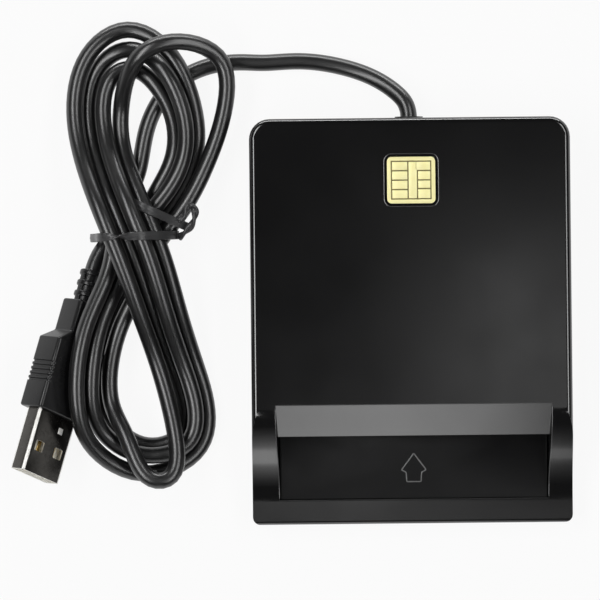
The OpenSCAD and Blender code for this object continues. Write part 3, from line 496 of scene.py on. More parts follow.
cord = {
    "diameter": 3.9,
    "exit": (0, 47.5, 6.5),        # middle of the hole in the rear wall
    "sides": 24,
    "perPoint": 6,
    "waist": (-62, 21.5),          # middle of the hank
    "turn": -0.6,
    "plugTurn": 254.3,
    "plugRise": 10.5,
    "plugRoll": 43,
    "leadSteps": [
        (0, -5, 0), (0, -2.9, 0), (0, -0.8, 0), (0, 1.5, -0.1), (-0.8, 4.1, -0.6),
        (-3.2, 6.5, -1.7), (-6.8, 9.1, -3), (-12, 11.5, -4.1), (-19.6, 13.4, -4.5),
        (-26.6, 14, -4.5)],
    # x, y, their steps for each loop further out, height of the lower layer, layer height
    "stations": [
        (12.6, 27, -2.65, 0, 6.5, 3.6), (12, 17, -2.5, 0.2, 2.8, 3.8),
        (7.6, 7.4, -2.2, 1.7, 2.8, 3.9), (0.6, -2.2, -2, 2.3, 3, 3.8),
        (-1.4, -12, -2.3, 1, 2.6, 3.8), (-6.6, -20.6, -2.25, 0.4, 2, 3.9),
        (-9.2, -31, -2.3, 0, 2, 3.9), (-8.8, -41, -2.35, -0.4, 2, 3.9),
        (-5.4, -46.6, -2.4, -1.2, 2, 3.9), (0.6, -48.9, -0.6, -2.9, 2, 3.9),
        (6.6, -47, 2.4, -1.9, 2, 3.7), (6.6, -40, 2.9, -0.6, 2, 3.5), (3, -31, 2.9, 0, 2, 4),
        (-1, -20, 3, 0.2, 8.6, 4), (-4.8, -9, 3.2, 0.8, 12.2, 3.4),
        (-8.2, -0.6, 3.1, 1, 13.4, 3.3), (-11.8, 8, 3.1, 1, 11.2, 3.3),
        (-15.6, 18.6, 3.2, 0.6, 4.2, 3.4), (-17.4, 30, 3.4, 0, 2, 3.4),
        (-14.8, 42.2, 3.2, -2.5, 2, 3), (-4.4, 50, 0.6, -5.5, 4.2, 0),
        (7.2, 42.6, -2.7, -3.3, 6.7, 3.3)],
    "downLast": 3,
    "topRight": 21,
    "loops": 4,
    "nest": [3, 0, 1, 2],
    "right": [3.5, -1, 0, 1, 2],
    "layer": [0, 1, 0, 1, 0],
    # where a loop leaves its place: (loop, station): shift
    "shifts": {
        (0, 3): (-0.6, -2.2, 5.2), (0, 4): (0.8, 0, 7.2), (0, 5): (0, 0, 10.4),
        (0, 6): (0, 0, 13.4), (0, 7): (-0.2, 0, 12.6), (0, 8): (-0.8, -0.8, 8),
        (0, 9): (0, -1.4, 2), (0, 15): (0, 0, -1.3), (0, 16): (0, 0, -1.2), (0, 18): (1.1, 0, 1.2),
        (0, 19): (2.2, 7.3, 12.8), (0, 20): (10.6, 12.4, 8.4), (0, 21): (21.2, 8.6, -1.6),
        (1, 0): (3.4, 0, -1), (1, 1): (0.4, 0, 0), (1, 4): (1, 0, 0), (1, 5): (0.9, 0, 0.3),
        (1, 6): (0.6, 0, 0.6), (1, 7): (0.2, 0, 0.6), (1, 8): (1.2, -0.6, 5.4),
        (1, 9): (-1.2, -10.4, 6.2), (1, 10): (2.2, -11.2, 5.8), (1, 11): (0, -4, 3.6),
        (2, 3): (0.2, -0.2, 0), (2, 4): (0.6, 0, 0), (2, 5): (0.8, 0, 0), (2, 6): (1.4, 0, 0),
        (2, 7): (0.6, 0, 0), (2, 8): (1.2, 0.8, 0), (2, 9): (0, 0.6, 0), (3, 3): (0.2, -0.2, -0.1),
        (3, 4): (0.9, 0, -0.2), (3, 5): (0.8, 0, 3.2), (3, 6): (1.2, 0, 6.8),
        (3, 7): (0.6, 0, 5.2), (3, 8): (0.4, 0.6, 0.6), (3, 9): (0, 1, 0)},
    "runIn": [
        (28, 39.6, 2), (23.3, 40, 2), (18.4, 39.8, 2), (13.6, 38.8, 2), (8.9, 36.6, 2),
        (5, 33.6, 2), (2.2, 29.4, 2), (0.2, 24.8, 2), (-0.8, 19.4, 2), (-1.6, 14, 2.6),
        (-3.8, 9, 4.4)],
    "runToPlug": [(0, 4.8, 2.5), (-4.6, 0.8, 3), (-10.3, -3.2, 3.2), (-12.7, -9.6, 4.7)],
    "plugPull": 12,
}


def inHank(p):
    x, y = turned(p[0], p[1], cord["turn"])
    return Vector((cord["waist"][0] + x, cord["waist"][1] + y, p[2]))


def stopAt(loop, station):
    x, y, stepX, stepY, low, layerHeight = cord["stations"][station]
    down = cord["downLast"]
    if station < down:
        rank = cord["right"][loop]
    elif station > down:
        rank = cord["nest"][loop]
    else:
        rank = cord["right"][0] if loop == 0 else (cord["right"][loop] + cord["nest"][loop]) / 2
    level = 1 - cord["layer"][loop] if station == cord["topRight"] else cord["layer"][loop]
    shift = Vector(cord["shifts"].get((loop, station), (0, 0, 0)))
    return shift + Vector((x + stepX * rank, y + stepY * rank, low + layerHeight * level))


def cordRoute():
    last, top = cord["loops"], cord["topRight"]
    rise, turn = math.radians(cord["plugRise"]), math.radians(cord["plugTurn"])
    flat = math.cos(rise)
    axis = Vector((flat * math.cos(turn), flat * math.sin(turn), math.sin(rise)))
    hank = [Vector(p) for p in cord["runIn"]]
    hank += [stopAt(0, j) for j in range(cord["downLast"], top + 1)]
    for loop in range(1, last):
        hank += [stopAt(loop, j) for j in range(top + 1)]
    hank += [stopAt(last, j) for j in range(cord["downLast"])]
    hank += [Vector(p) for p in cord["runToPlug"]]
    hank.append(Vector(cord["runToPlug"][2]) + axis * cord["plugPull"])
    lead = [Vector(cord["exit"]) + Vector(p) for p in cord["leadSteps"]]
    return lead + [inHank(p) for p in hank]


def smoothLine(points, perPoint, closed=False):
    # uniform cubic B-spline through the pull of the points
    count = len(points)
    spans = range(count) if closed else range(count - 3)
    line = []
    for i in spans:
        a, b, c, d = (points[(i + k) % count] for k in range(4))
        for k in range(perPoint):
            t = k / perPoint
            line.append(((1 - t) ** 3 * a + (3 * t ** 3 - 6 * t * t + 4) * b
                         + (3 * (t + t * t - t ** 3) + 1) * c + t ** 3 * d) / 6)
    if not closed:
        line.append((points[-3] + 4 * points[-2] + points[-1]) / 6)
    return line


def waysAlong(line, closed=False):
    # the direction of travel at each point
    ahead = line[1:] + [line[0] if closed else line[-1]]
    behind = [line[-1] if closed else line[0]] + line[:-1]
    return [(b - a).normalized() for a, b in zip(behind, ahead)]


def framesAlong(line):
    # a side and an up direction at each point, carried along without twist
    ways = waysAlong(line)
    up = (upright - ways[0] * upright.dot(ways[0])).normalized()
    frames = []
    for i, way in enumerate(ways):
        if i:
            axis = ways[i - 1].cross(way)
            if axis.length > 1e-9:
                up = Matrix.Rotation(ways[i - 1].angle(way), 3, axis) @ up
        up = (up - way * up.dot(way)).normalized()
        frames.append((way.cross(up), up))
    return frames


def sweep(line, ring, closed=False, twist=None, frames=None):
    # moves a ring of (x, y) pairs along a line
    frames = frames or framesAlong(line)
    points = []
    for i, (centre, (side, up)) in enumerate(zip(line, frames)):
        a = twist(i / (len(line) - 1)) if twist else 0
        for x, y in ring:
            points.append((centre + side * (x * math.cos(a) - y * math.sin(a))
                           + up * (x * math.sin(a) + y * math.cos(a))) * mm)
    mesh = meshFrom(points, tubeFaces(len(ring), len(line), closed))
    return markEdges(facesOut(mesh), sweepSmoothTo)


cordLine = smoothLine(cordRoute(), cord["perPoint"])
cordLength = sum((b - a).length for a, b in zip(cordLine, cordLine[1:]))
cordPiece = addPiece("cord", sweep(cordLine, circle(cord["diameter"], cord["sides"])), ["cord_pvc"],
                     ("cord_lead", "cord_hank"))
print("cord made, mm:", round(cordLength, 1))


# the plug, made along Z and then put where the cord ends
plug = {
    "coreD": 4.6, "coreR": 0.3, "collars": 3, "collarD": 5.8, "collarL": 1.3, "collarR": 0.35,
    "collarIn": 0.2,
    "bridges": 4, "bridgeW": 1.4, "bridgeR": 0.2, "bridgeLap": 0.2, "bridgeIn": (1.2, 0.12),
    "neckFrom": 7.8, "neckTo": 15.7, "neckW": 8, "neckT": 6.5, "neckLip": (0.15, 0.1),
    "gripFrom": 18.4, "gripTo": 35.4, "gripW": 15, "gripT": 7.6, "gripLip": (0.1, 0.06),
    "gripR": 0.9, "tipR": 0.6, "endR": 0.45, "lip": 0.25, "flareShares": (0.12, 0.88),
    "grooves": 5, "grooveFrom": 24.1, "groovePitch": 1.12, "grooveD": 0.4, "grooveReach": 0.75,
    # distance along the groove, share of its depth
    "grooveShape": ((0, 0), (0.12, 0.75), (0.28, 1), (0.47, 1), (0.63, 0.75), (0.66, 0)),
    "shellW": 12, "shellT": 4.5, "shellR": 0.6, "innerR": 0.1, "skin": 0.3, "shellTo": 50.4,
    "shellIn": 3, "mouthR": 0.08, "cornerSteps": 4,
    "windowW": 2.6, "windowL": 2.5, "windowX": 3.05, "windowFrom": 7.2, "windowR": 0.3,
    "windowSteps": 3,
    "catchW": 1.4, "catchL": 1.5, "catchT": 0.12, "catchX": 2, "catchFrom": 2.5, "catchSunk": 0.04,
    "catchR": 0.05,
    "seamHalf": 0.04, "seamOut": 0.01, "seamDeep": 0.06, "seamShort": 0.05,
    "tongueT": 1.8, "tongueBack": 0.2, "tongueR": 0.2, "tongueGap": 0.05,
    "strips": 4, "stripPitch": 2.3, "stripW": 1, "stripL": 8, "stripT": 0.15, "stripSunk": 0.1,
    "stripR": 0.12, "stripBack": (1, 0.9),
    "slotBack": (1.2, 0.5), "slotGap": 0.08, "slotDeep": 0.12, "slotOver": 0.5,
}


def plugPlace():
    return (Matrix.Translation(cordLine[-1] * mm)
            @ Matrix.Rotation(math.radians(cord["plugTurn"] + cord["turn"]), 4, "Z")
            @ Matrix.Rotation(math.radians(90 - cord["plugRise"]), 4, "Y")
            @ Matrix.Rotation(math.radians(90 - cord["plugRoll"]), 4, "Z"))


def makeRelief():
    p = plug
    core, r, c, length = p["coreD"] / 2, p["collarD"] / 2, p["collarR"], p["collarL"]
    stem = lathe([(core - p["coreR"], 0), (core, p["coreR"]), (core, p["neckFrom"] + p["coreR"])])
    collar = lathe([(core - p["collarIn"], 0), *arc(r - c, c, c, -90, 0),
                    *arc(r - c, length - c, c, 0, 90), (core - p["collarIn"], length)])
    collars = inRow(collar, p["collars"], (0, 0, 2 * length), material="plug_pvc")
    half, (deep, shy) = p["bridgeW"] / 2, p["bridgeIn"]
    bridge = boxMesh((r - deep, -half, length / 2), (r - shy, half, p["neckFrom"] + p["bridgeLap"]))
    bridges = inRow(bevelled(bridge, p["bridgeR"]), p["bridges"], turn=360 / p["bridges"],
                    material="plug_pvc")
    return joined([stem, collars, bridges])


def makeGrip():
    p, rings = plug, []

    def section(z, w, t, r=plug["gripR"], groove=0):
        side = w / 2 - r * p["grooveReach"]
        rings.append([(x - math.copysign(groove, x) if abs(x) > side else x, y, z)
                      for x, y in roundedRing(w, t, r)])

    def roundEnd(end, way, w, t, degrees):
        # from 0 at the side to 90 at the end face
        for a in degrees:
            back, short = (p["endR"] * (1 - of(math.radians(a))) for of in (math.cos, math.sin))
            section(end - way * short, w - 2 * back, t - 2 * back)

    section(p["neckFrom"], p["neckW"] - 2 * p["endR"], p["neckT"] - 2 * p["endR"], p["tipR"])
    roundEnd(p["neckFrom"], -1, p["neckW"], p["neckT"], (60, 30, 0))
    section(p["neckTo"] - p["lip"], p["neckW"], p["neckT"])
    section(p["neckTo"], p["neckW"] + p["neckLip"][0], p["neckT"] + p["neckLip"][1])
    for share in p["flareShares"]:
        z, w, t = (low + (high - low) * share for low, high in (
            (p["neckTo"], p["gripFrom"]), (p["neckW"], p["gripW"]), (p["neckT"], p["gripT"])))
        section(z, w, t)
    section(p["gripFrom"], p["gripW"] - p["gripLip"][0], p["gripT"] - p["gripLip"][1])
    section(p["gripFrom"] + p["lip"], p["gripW"], p["gripT"])
    for i in range(p["grooves"]):
        for along, depth in p["grooveShape"]:
            section(p["grooveFrom"] + i * p["groovePitch"] + along, p["gripW"], p["gripT"],
                    groove=depth * p["grooveD"])
    roundEnd(p["gripTo"], 1, p["gripW"], p["gripT"], (0, 30, 60, 90))
    half = (p["shellW"] / 2, p["shellT"] / 2)
    pocket = boxMesh((-half[0], -half[1], p["gripTo"] - p["shellIn"]), (*half, p["gripTo"] + over))
    return cut(facesOut(loft(rings)), pocket)


def makeShell():
    p = plug
    start, end, skin, lip = p["gripTo"] - p["shellIn"], p["shellTo"], p["skin"], p["mouthR"]
    half = p["shellT"] / 2
    levels = ((start, 0), (end - lip, 0), (end, lip), (end, skin - lip), (end - lip, skin),
              (start + skin, skin))
    mesh = loft([ringAt((0, 0), z, p["shellW"] - 2 * back, p["shellT"] - 2 * back,
                        max(p["shellR"] - back, p["innerR"]), p["cornerSteps"])
                 for z, back in levels])
    corner = p["cornerSteps"] + 1                         # ring points in each rounded corner
    for i, face in enumerate(mesh.polygons):              # corners, lip and inside take the bright copy: painted highlight
        if i % corner != corner - 1 or i >= 4 * corner:
            face.material_index = 1
    z = p["gripTo"] + p["windowFrom"] + p["windowL"] / 2
    ring = roundedRing(p["windowW"], p["windowL"], p["windowR"], p["windowSteps"])
    windows = [painted(facesOut(loft([[(x + a, y, z + b) for a, b in ring]
                                      for y in (-p["shellT"], p["shellT"])])), 1)
               for x in (-p["windowX"], p["windowX"])]
    seam = boxMesh((-p["seamHalf"], -half - p["seamOut"], start),
                   (p["seamHalf"], -half + p["seamDeep"], end - p["seamShort"]))
    parts = [cut(cut(facesOut(mesh), *windows), seam)]
    x, z = p["catchX"] - p["catchW"] / 2, p["gripTo"] + p["catchFrom"]
    for side in (-1, 1):                                  # a small stamped catch in each wide face
        near = side * (half - p["catchSunk"])
        low, high = sorted((near, near + side * p["catchT"]))
        stamp = boxMesh((x, low, z), (x + p["catchW"], high, z + p["catchL"]))
        parts.append(painted(bevelled(stamp, p["catchR"], segments=2), 1))
    return joined(parts)


def inTongue(mesh, material):
    # one for each contact
    row = inRow(mesh, plug["strips"], (plug["stripPitch"], 0, 0), material=material)
    first = -(plug["strips"] - 1) / 2 * plug["stripPitch"]
    return moved(row, Matrix.Translation((first * mm, 0, 0)))


def makeTongue():
    p = plug
    low = p["skin"] - p["shellT"] / 2
    top, end = low + p["tongueT"], p["shellTo"] - p["tongueBack"]
    wide = p["shellW"] / 2 - p["skin"] - p["tongueGap"]
    body = boxMesh((-wide, low, p["gripTo"] - p["shellIn"] + p["skin"]), (wide, top, end))
    half = p["stripW"] / 2 + p["slotGap"]
    slot = boxMesh((-half, top - p["slotDeep"], end - p["stripL"] - p["slotBack"][0]),
                   (half, top + p["slotOver"], end - p["slotBack"][1]))
    return cut(bevelled(body, p["tongueR"]), inTongue(slot, "ivory_plastic"))


def makeStrips():
    p = plug
    top, end = p["skin"] - p["shellT"] / 2 + p["tongueT"], p["shellTo"] - p["tongueBack"]
    strip = boxMesh((-p["stripW"] / 2, top - p["stripSunk"], end - p["stripL"] - p["stripBack"][0]),
                    (p["stripW"] / 2, top + p["stripT"], end - p["stripBack"][1]))
    return inTongue(bevelled(strip, p["stripR"]), "contact_gold")


relief, grip, shell, tongue, strips = (
    addPiece(name, moved(make(), plugPlace()), names, (node,))
    for name, make, names, node, slot in (
        ("plugStrainRelief", makeRelief, ["plug_pvc"], "plug_strain_relief", None),
        ("plugGrip", makeGrip, ["plug_pvc"], "plug_grip", None),
        ("plugShell", makeShell, ["shell_steel", "shell_painted_highlight"], "plug_shell", None),
        ("plugTongue", makeTongue, ["ivory_plastic"], "plug_tongue", None),
        ("plugContacts", makeStrips, [], "plug_contacts", "contact_gold")))
print("plug made")


# the twist tie: flat coated wire, wrapped twice round the waist, its ends twisted together
tie = {
    "width": 2, "thick": 0.36, "wire": 0.56, "edge": 0.08, "lift": 0.45,
    # shares of the half width and of the half thickness of band and wire
    "edgeShare": 0.8, "bandShare": 0.55, "ribShares": (0.9, 0.75),
    "wraps": [
        {"middle": (3.2, 4.1), "heading": -23.8, "flip": None, "points": [
            (7.4, 6.8), (6.6, 9), (3.6, 10.2), (0.4, 12.2), (-2.4, 14), (-4.6, 13.9), (-6.2, 12.8),
            (-8.6, 9.6), (-11, 7.4), (-11.6, 4.6), (-10, 2), (-6, 0.62), (-2, 0.62), (2, 0.62),
            (5, 1.4), (6.8, 3.8)]},
        {"middle": (-0.6, -1), "heading": 2, "flip": (0.17, 0.33), "points": [
            (8.4, 6.8), (7.6, 10), (5.6, 13.6), (2.6, 17), (-0.2, 19), (-4, 18.7), (-7.4, 18.7),
            (-10, 17.4), (-10.4, 14), (-10.6, 9), (-12, 5.4), (-12.2, 2.6), (-10, 0.8), (-6, 0.62),
            (-2, 0.62), (2, 0.62), (5, 1.4), (7.4, 3.8)]},
    ],
    "tail": [(6.6, -2, 7), (7.9, -1.3, 8.2), (9.4, -0.2, 9.6), (10.9, 1.5, 10.4), (11.8, 3.6, 10.8),
             (11.7, 5.6, 10.9), (10.6, 6.8, 10.9), (9.7, 5.5, 10.7), (9.2, 3.8, 10.5),
             (8, 2.5, 10.3), (6.4, 1.9, 10)],
    "wrapPerPoint": 6, "tailPerPoint": 8, "tailTurns": 2.1, "tailR": 0.3,
    "strand": (0.62, 0.46), "sides": 14,
}


def tieRing():
    # flat band with the wire as a rib along its middle
    w, t, c = tie["width"] / 2, tie["thick"] / 2, tie["wire"] / 2
    ribX, ribY = tie["ribShares"]
    upper = [(w, 0), (w - tie["edge"], t * tie["edgeShare"]), (w * tie["bandShare"], t),
             (c * ribX, c * ribY), (0, c)]
    top = upper + [(-x, y) for x, y in reversed(upper[:-1])]
    return top + [(x, -y) for x, y in reversed(top[1:-1])]


def makeWrap(wrap):
    a = math.radians(wrap["heading"])
    mx, my = wrap["middle"]
    line = smoothLine([inHank((mx + u * math.cos(a), my + u * math.sin(a), z))
                       for u, z in wrap["points"]], tie["wrapPerPoint"], closed=True)
    across = Vector((*turned(-math.sin(a), math.cos(a), cord["turn"]), 0))
    frames = [(across, across.cross(way).normalized()) for way in waysAlong(line, True)]
    line = [p + out * tie["wire"] * tie["lift"] for p, (side, out) in zip(line, frames)]

    def twist(share):
        # turns over once, between the two shares of its length
        if not wrap["flip"]:
            return 0
        start, end = wrap["flip"]
        t = min(1, max(0, (share - start) / (end - start)))
        return math.pi * t * t * (3 - 2 * t)

    return sweep(line, tieRing(), closed=True, twist=twist, frames=frames)


def makeTie():
    parts = [makeWrap(wrap) for wrap in tie["wraps"]]
    spine = smoothLine([inHank(p) for p in tie["tail"]], tie["tailPerPoint"])
    ring = [(tie["strand"][0] * x, tie["strand"][1] * y) for x, y in circle(2, tie["sides"])]
    for start in (0, math.pi):
        def wound(share, start=start):
            return start + tie["tailTurns"] * 2 * math.pi * share

        strand = []
        for i, (p, (side, up)) in enumerate(zip(spine, framesAlong(spine))):
            a = wound(i / (len(spine) - 1))
            strand.append(p + (side * math.cos(a) + up * math.sin(a)) * tie["tailR"])
        parts.append(sweep(strand, ring, twist=wound))
    return joined(parts)


tiePiece = addPiece("twistTie", makeTie(), ["tie_black"], ("twist_tie",))
print("twist tie made")


# the arrow on the recess floor: a fine rounded bead along the groove of the solid, light grey as a
# painted highlight
arrow = {"middleX": 0.35, "wingY": -34.95, "point": 3.9, "half": 2.9, "notch": 1.8, "drop": 0.55,
         "leg": 2.2, "taper": 0.12, "bead": 0.32, "sunk": 0.06, "round": 0.3, "steps": 5,
         "sides": 16, "floorZ": 5.4}


def makeArrow():
    a = arrow
    foot = -a["drop"] - a["leg"]
    corners = [Vector((a["middleX"] + x, a["wingY"] + y, a["floorZ"] - a["sunk"])) for x, y in (
        (0, a["point"]), (a["half"], 0), (a["notch"], -a["drop"]), (a["notch"] - a["taper"], foot),
        (a["taper"] - a["notch"], foot), (-a["notch"], -a["drop"]), (-a["half"], 0))]
    line = []
    for before, corner, after in zip(corners[-1:] + corners, corners, corners[1:] + corners):
        near = corner + (before - corner).normalized() * a["round"]
        far = corner + (after - corner).normalized() * a["round"]
        for k in range(a["steps"] + 1):
            t = k / a["steps"]
            line.append((1 - t) ** 2 * near + 2 * t * (1 - t) * corner + t * t * far)
    frames = [(way.cross(upright), upright) for way in waysAlong(line, True)]
    return painted(sweep(line, circle(a["bead"], a["sides"]), closed=True, frames=frames), 1)


# the covers, with fine rounded rims on the top one: round the recess and the emblem's pocket, lighter
# grey as a painted highlight
rims = {
    "bead": 0.26, "sides": 12, "sunk": 0.11, "body": 16,
    "left": -30.9, "right": 31.6, "lean": 0.085, "leanFrom": 4.2, "browY": -19.5,
    "armTopY": -20.4, "armRun": 22, "lipZ": 6.8, "lipY": -41.7, "steps": 24,
    "pocketW": 12.5, "pocketL": 12.1, "pocketR": 1.7, "pocketMiddle": (0.3, 32.9), "cornerSteps": 8,
    "gapZ": (15.3, 15.37), "gapIn": 0.05,
}


def armHeight(y):
    # two arcs, from the body down to the lip
    high, low, run = rims["body"], rims["lipZ"], rims["armRun"]
    r = (run ** 2 + (high - low) ** 2) / (4 * (high - low))
    down = max(rims["armTopY"] - y, 0)
    if down > run / 2:
        return low + r - math.sqrt(r * r - max(run - down, 0) ** 2)
    return high - r + math.sqrt(r * r - down ** 2)


def makeBead(line):
    line = [Vector(p) for p in line]
    frames = []
    for way in waysAlong(line, True):
        side = way.cross(upright).normalized()
        frames.append((side, side.cross(way)))
    return painted(sweep(line, circle(rims["bead"], rims["sides"]), closed=True, frames=frames), 1)


def makeRims():
    m, sunk = rims, rims["sunk"]
    step = (m["browY"] - m["lipY"] + 2 * sunk) / m["steps"]
    wall = [(y, armHeight(y)) for y in (m["lipY"] - sunk + step * i for i in range(m["steps"] + 1))]

    def edge(side, x, points):
        return [(x + side * (m["lean"] * (z - m["leanFrom"]) + sunk), y, z - sunk)
                for y, z in points]

    around = edge(1, m["right"], wall) + edge(-1, m["left"], reversed(wall))
    w, l, r, back = m["pocketW"], m["pocketL"], m["pocketR"], m["gapIn"]
    pocket = ringAt(m["pocketMiddle"], m["body"] - sunk, w + 2 * sunk, l + 2 * sunk, r + sunk,
                    m["cornerSteps"])
    # a thin dull band just inside the pocket's edge: painted shade in the gap round the emblem
    gap = facesOut(loft([ringAt(m["pocketMiddle"], z, w - 2 * back, l - 2 * back, r)
                         for z in m["gapZ"]]))
    return joined([makeBead(around), makeBead(pocket), painted(gap, 2)])


covers = {
    "top": {"width": 0.25, "segments": 4},
    # the arrow's groove is finer
    "bottom": {"width": 0.2, "segments": 3, "fineWidth": 0.04, "fine": [((-7, -41, 5), (8, -29, 5.5))]},
}
addPiece("topCover", softCopy("top_cover", **covers["top"], extra=makeRims()),
         ["case_black", "rim_painted_highlight", "gap_painted_shade"], ("top_cover",))
addPiece("bottomCover", softCopy("bottom_cover", **covers["bottom"], extra=makeArrow()),
         ["base_black", "arrow_painted_highlight"], ("bottom_cover",))
print("covers made")


# the gold emblem: a frame and pads with dark lines between them
emblem = {"line": 0.3, "frameIn": 1.05, "frameR": 0.14, "padR": 0.07, "r": 1.1, "plateIn": 0.05,
          "columns": (0.42, 0.66), "rowsLeft": (0, 0.25, 0.5, 0.75, 1),
          "rowsRight": (0, 0.25, 0.5, 0.73, 1), "lift": 0.12, "sunk": 0.02}


def makeEmblem():
    m = emblem
    low, high = (Vector(corner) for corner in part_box("chip_emblem"))      # in metres
    w, l = ((high - low) / mm).xy
    cx, cy = middle = (low.x + high.x) / 2 / mm, (low.y + high.y) / 2 / mm
    base, top, g = low.z / mm, high.z / mm, m["line"] / 2
    iw, il = w / 2 - m["frameIn"], l / 2 - m["frameIn"]
    floor = top - m["lift"] - m["sunk"]
    plate = facesOut(loft([ringAt(middle, z, w - 2 * m["plateIn"], l - 2 * m["plateIn"], m["r"])
                           for z in (base, top - m["lift"])]))
    outer = facesOut(loft([ringAt(middle, z, w, l, m["r"]) for z in (base, top)]))
    hole = boxMesh((cx - iw - g, cy - il - g, floor - m["sunk"] / 2),
                   (cx + iw + g, cy + il + g, top + over))
    gold = [bevelled(cut(outer, hole), m["frameR"])]

    def pad(x0, y0, x1, y1):
        box = boxMesh((cx + x0, cy + y0, floor), (cx + x1, cy + y1, top))
        gold.append(bevelled(box, m["padR"], segments=2))

    v1, v2 = (-iw + 2 * iw * share for share in m["columns"])
    left, right = ([il - 2 * il * share for share in m[side]] for side in ("rowsLeft", "rowsRight"))
    for a, b in zip(left, left[1:]):
        pad(-iw + g, b + g, v1 - g, a - g)
    pad(v1 + g, -il + g, v2 - g, il - g)
    for i, (a, b) in enumerate(zip(right, right[1:])):
        # the first joins the middle column
        pad(v2 + (g if i else -3 * g), b + g, iw - g, a - g)
    return dressed((plate, 0), (joined(gold), 1))


addPiece("chipEmblem", makeEmblem(), ["emblem_line", "emblem_gold"], ("chip_emblem",))
print("emblem made")


# feet and screws
foot = {"r": 4, "edge": 0.5, "dish": 0.25, "groove": 2.6, "rise": 0.5, "rim": 0.06, "flat": 0.2,
        "top": 0.05, "sides": 48}
axisR = 0.01                       # a lathe's profile starts this far from its axis


def makeFoot(node):
    low, high = boxOf(node)
    f, r, e, h, t = foot, foot["r"], foot["edge"], high.z - low.z, foot["top"]
    mesh = lathe([(axisR, f["dish"]), (f["groove"] - f["rise"], f["dish"]), (f["groove"], f["rim"]),
                  (r - e - f["flat"], 0), *arc(r - e, e, e, -90, 0)[1:],
                  (r, h - t), (r - t, h), (axisR, h)], f["sides"])
    return put(mesh, (low.x + high.x) / 2, (low.y + high.y) / 2, low.z)


for end in ("front", "rear"):
    for side in ("left", "right"):
        node = "foot_" + end + "_" + side
        addPiece("foot" + end.title() + side.title(), makeFoot(node), ["foot_rubber"], (node,))

screw = {
    "edge": 0.45, "crossShare": 0.62, "crossHalf": 0.28, "crossIn": 0.45, "pitch": 0.8,
    "firstTurn": 0.3, "plain": 1.2, "tip": 0.5, "sides": 24,
    # shares of the thread's radius at its root, at the tip's start and at the tip
    "rootShare": 0.8, "neckShare": 0.75, "tipShare": 0.3,
    # shares of the pitch at which a turn rises, starts to fall and ends
    "turnShares": (0.35, 0.5, 0.85),
}
caseScrew = {"headD": 4, "headH": 1.3, "threadD": 2.2, "length": 6.7}
boardScrew = {"headD": 3.4, "headH": 1.1, "threadD": 2}


def makeScrew(headD, headH, threadD, length):
    # head down, thread up, origin where the head meets the thread
    s, r, t = screw, headD / 2, threadD / 2
    root, e = t * s["rootShare"], s["edge"]
    profile = [(axisR, -headH), (r - e, -headH), *arc(r - e, e - headH, e, -90, 0)[1:],
               (r, 0), (root, 0)]
    for i in range(int((length - s["plain"]) / s["pitch"])):
        z = s["firstTurn"] + i * s["pitch"]
        up, down, last = (z + s["pitch"] * share for share in s["turnShares"])
        profile += [(root, z), (t, up), (t, down), (root, last)]
    profile += [(t * s["neckShare"], length - s["tip"]), (t * s["tipShare"], length),
                (axisR, length)]
    wide, half, deep = r * s["crossShare"], s["crossHalf"], -headH * s["crossIn"]
    return cut(lathe(profile, s["sides"]), *(boxMesh((-x, -y, -headH - over), (x, y, deep))
                                             for x, y in ((wide, half), (half, wide))))


def makeCaseScrews():
    low, high = boxOf("case_screws")
    r = caseScrew["headD"] / 2
    pair = inRow(makeScrew(**caseScrew), 2, (high.x - low.x - 2 * r, 0, 0), material="screw_steel")
    four = inRow(pair, 2, (0, high.y - low.y - 2 * r, 0), material="screw_steel")
    return put(four, low.x + r, low.y + r, low.z + caseScrew["headH"])


def makeBoardScrews():
    low, high = boxOf("board_screws")
    r, h = boardScrew["headD"] / 2, boardScrew["headH"]
    one = moved(makeScrew(**boardScrew, length=high.z - low.z - h),
                Matrix.Rotation(math.pi, 4, "X"))
    pair = inRow(one, 2, (high.x - low.x - 2 * r, 0, 0), material="screw_steel")
    return put(pair, low.x + r, (low.y + high.y) / 2, high.z - h)


addPiece("caseScrews", makeCaseScrews(), [], ("case_screws",))
addPiece("boardScrews", makeBoardScrews(), [], ("board_screws",))
print("feet and screws made")


# inside the case; node: piece, edge width, finish, body
rounded = {
    "circuit_board": ("circuitBoard", 0.06, "board", "base"),
    "connector_frame": ("connectorFrame", 0.15, "frame_black", "base"),
    "contact_row_front": ("frontContacts", 0.03, "contact_gold", "front_contacts"),
    "contact_row_rear": ("rearContacts", 0.03, "contact_gold", "rear_contacts"),
    "switch_case": ("switchCase", 0.12, "ivory_plastic", "base"),
    "switch_lever": ("switchLever", 0.1, "lever_black", "card_lever"),
    "wire_socket": ("wireSocket", 0.12, "ivory_plastic", "base"),
    "wire_housing": ("wireHousing", 0.1, "ivory_plastic", "base"),
    "cord_grommet": ("cordGrommet", 0.12, "grommet_rubber", "base"),
}
for node, (name, edge, material, body) in rounded.items():
    addPiece(name, softCopy(node, edge), [material], (node,), body=body)

chip = {"middle": (0, 22), "boardTop": 13.1, "side": 7, "height": 1, "stand": 0.1, "edge": 0.1,
        "sides": 4, "legs": 8, "pitch": 0.8, "legW": 0.35, "legT": 0.12,
        "legPath": [(3.4, 0.5), (3.62, 0.5), (3.7, 0.44), (3.76, 0.14), (3.84, 0.07), (4, 0.06)],
        "dimple": (-2.6, 2.6), "dimpleR": (0.35, 0.42), "dimpleIn": 0.12, "dimpleOut": 0.1,
        "dimpleSides": 20}


def ribbon(path, thick, wide):
    # flat strip along a path in Y and Z
    rings = []
    for (y0, z0), (y, z), (y1, z1) in zip(path[:1] + path, path, path[1:] + path[-1:]):
        size = math.hypot(y1 - y0, z1 - z0)
        ny, nz = -(z1 - z0) / size * thick / 2, (y1 - y0) / size * thick / 2
        rings.append([(-wide / 2, y + ny, z + nz), (wide / 2, y + ny, z + nz),
                      (wide / 2, y - ny, z - nz), (-wide / 2, y - ny, z - nz)])
    return markEdges(facesOut(loft(rings)))


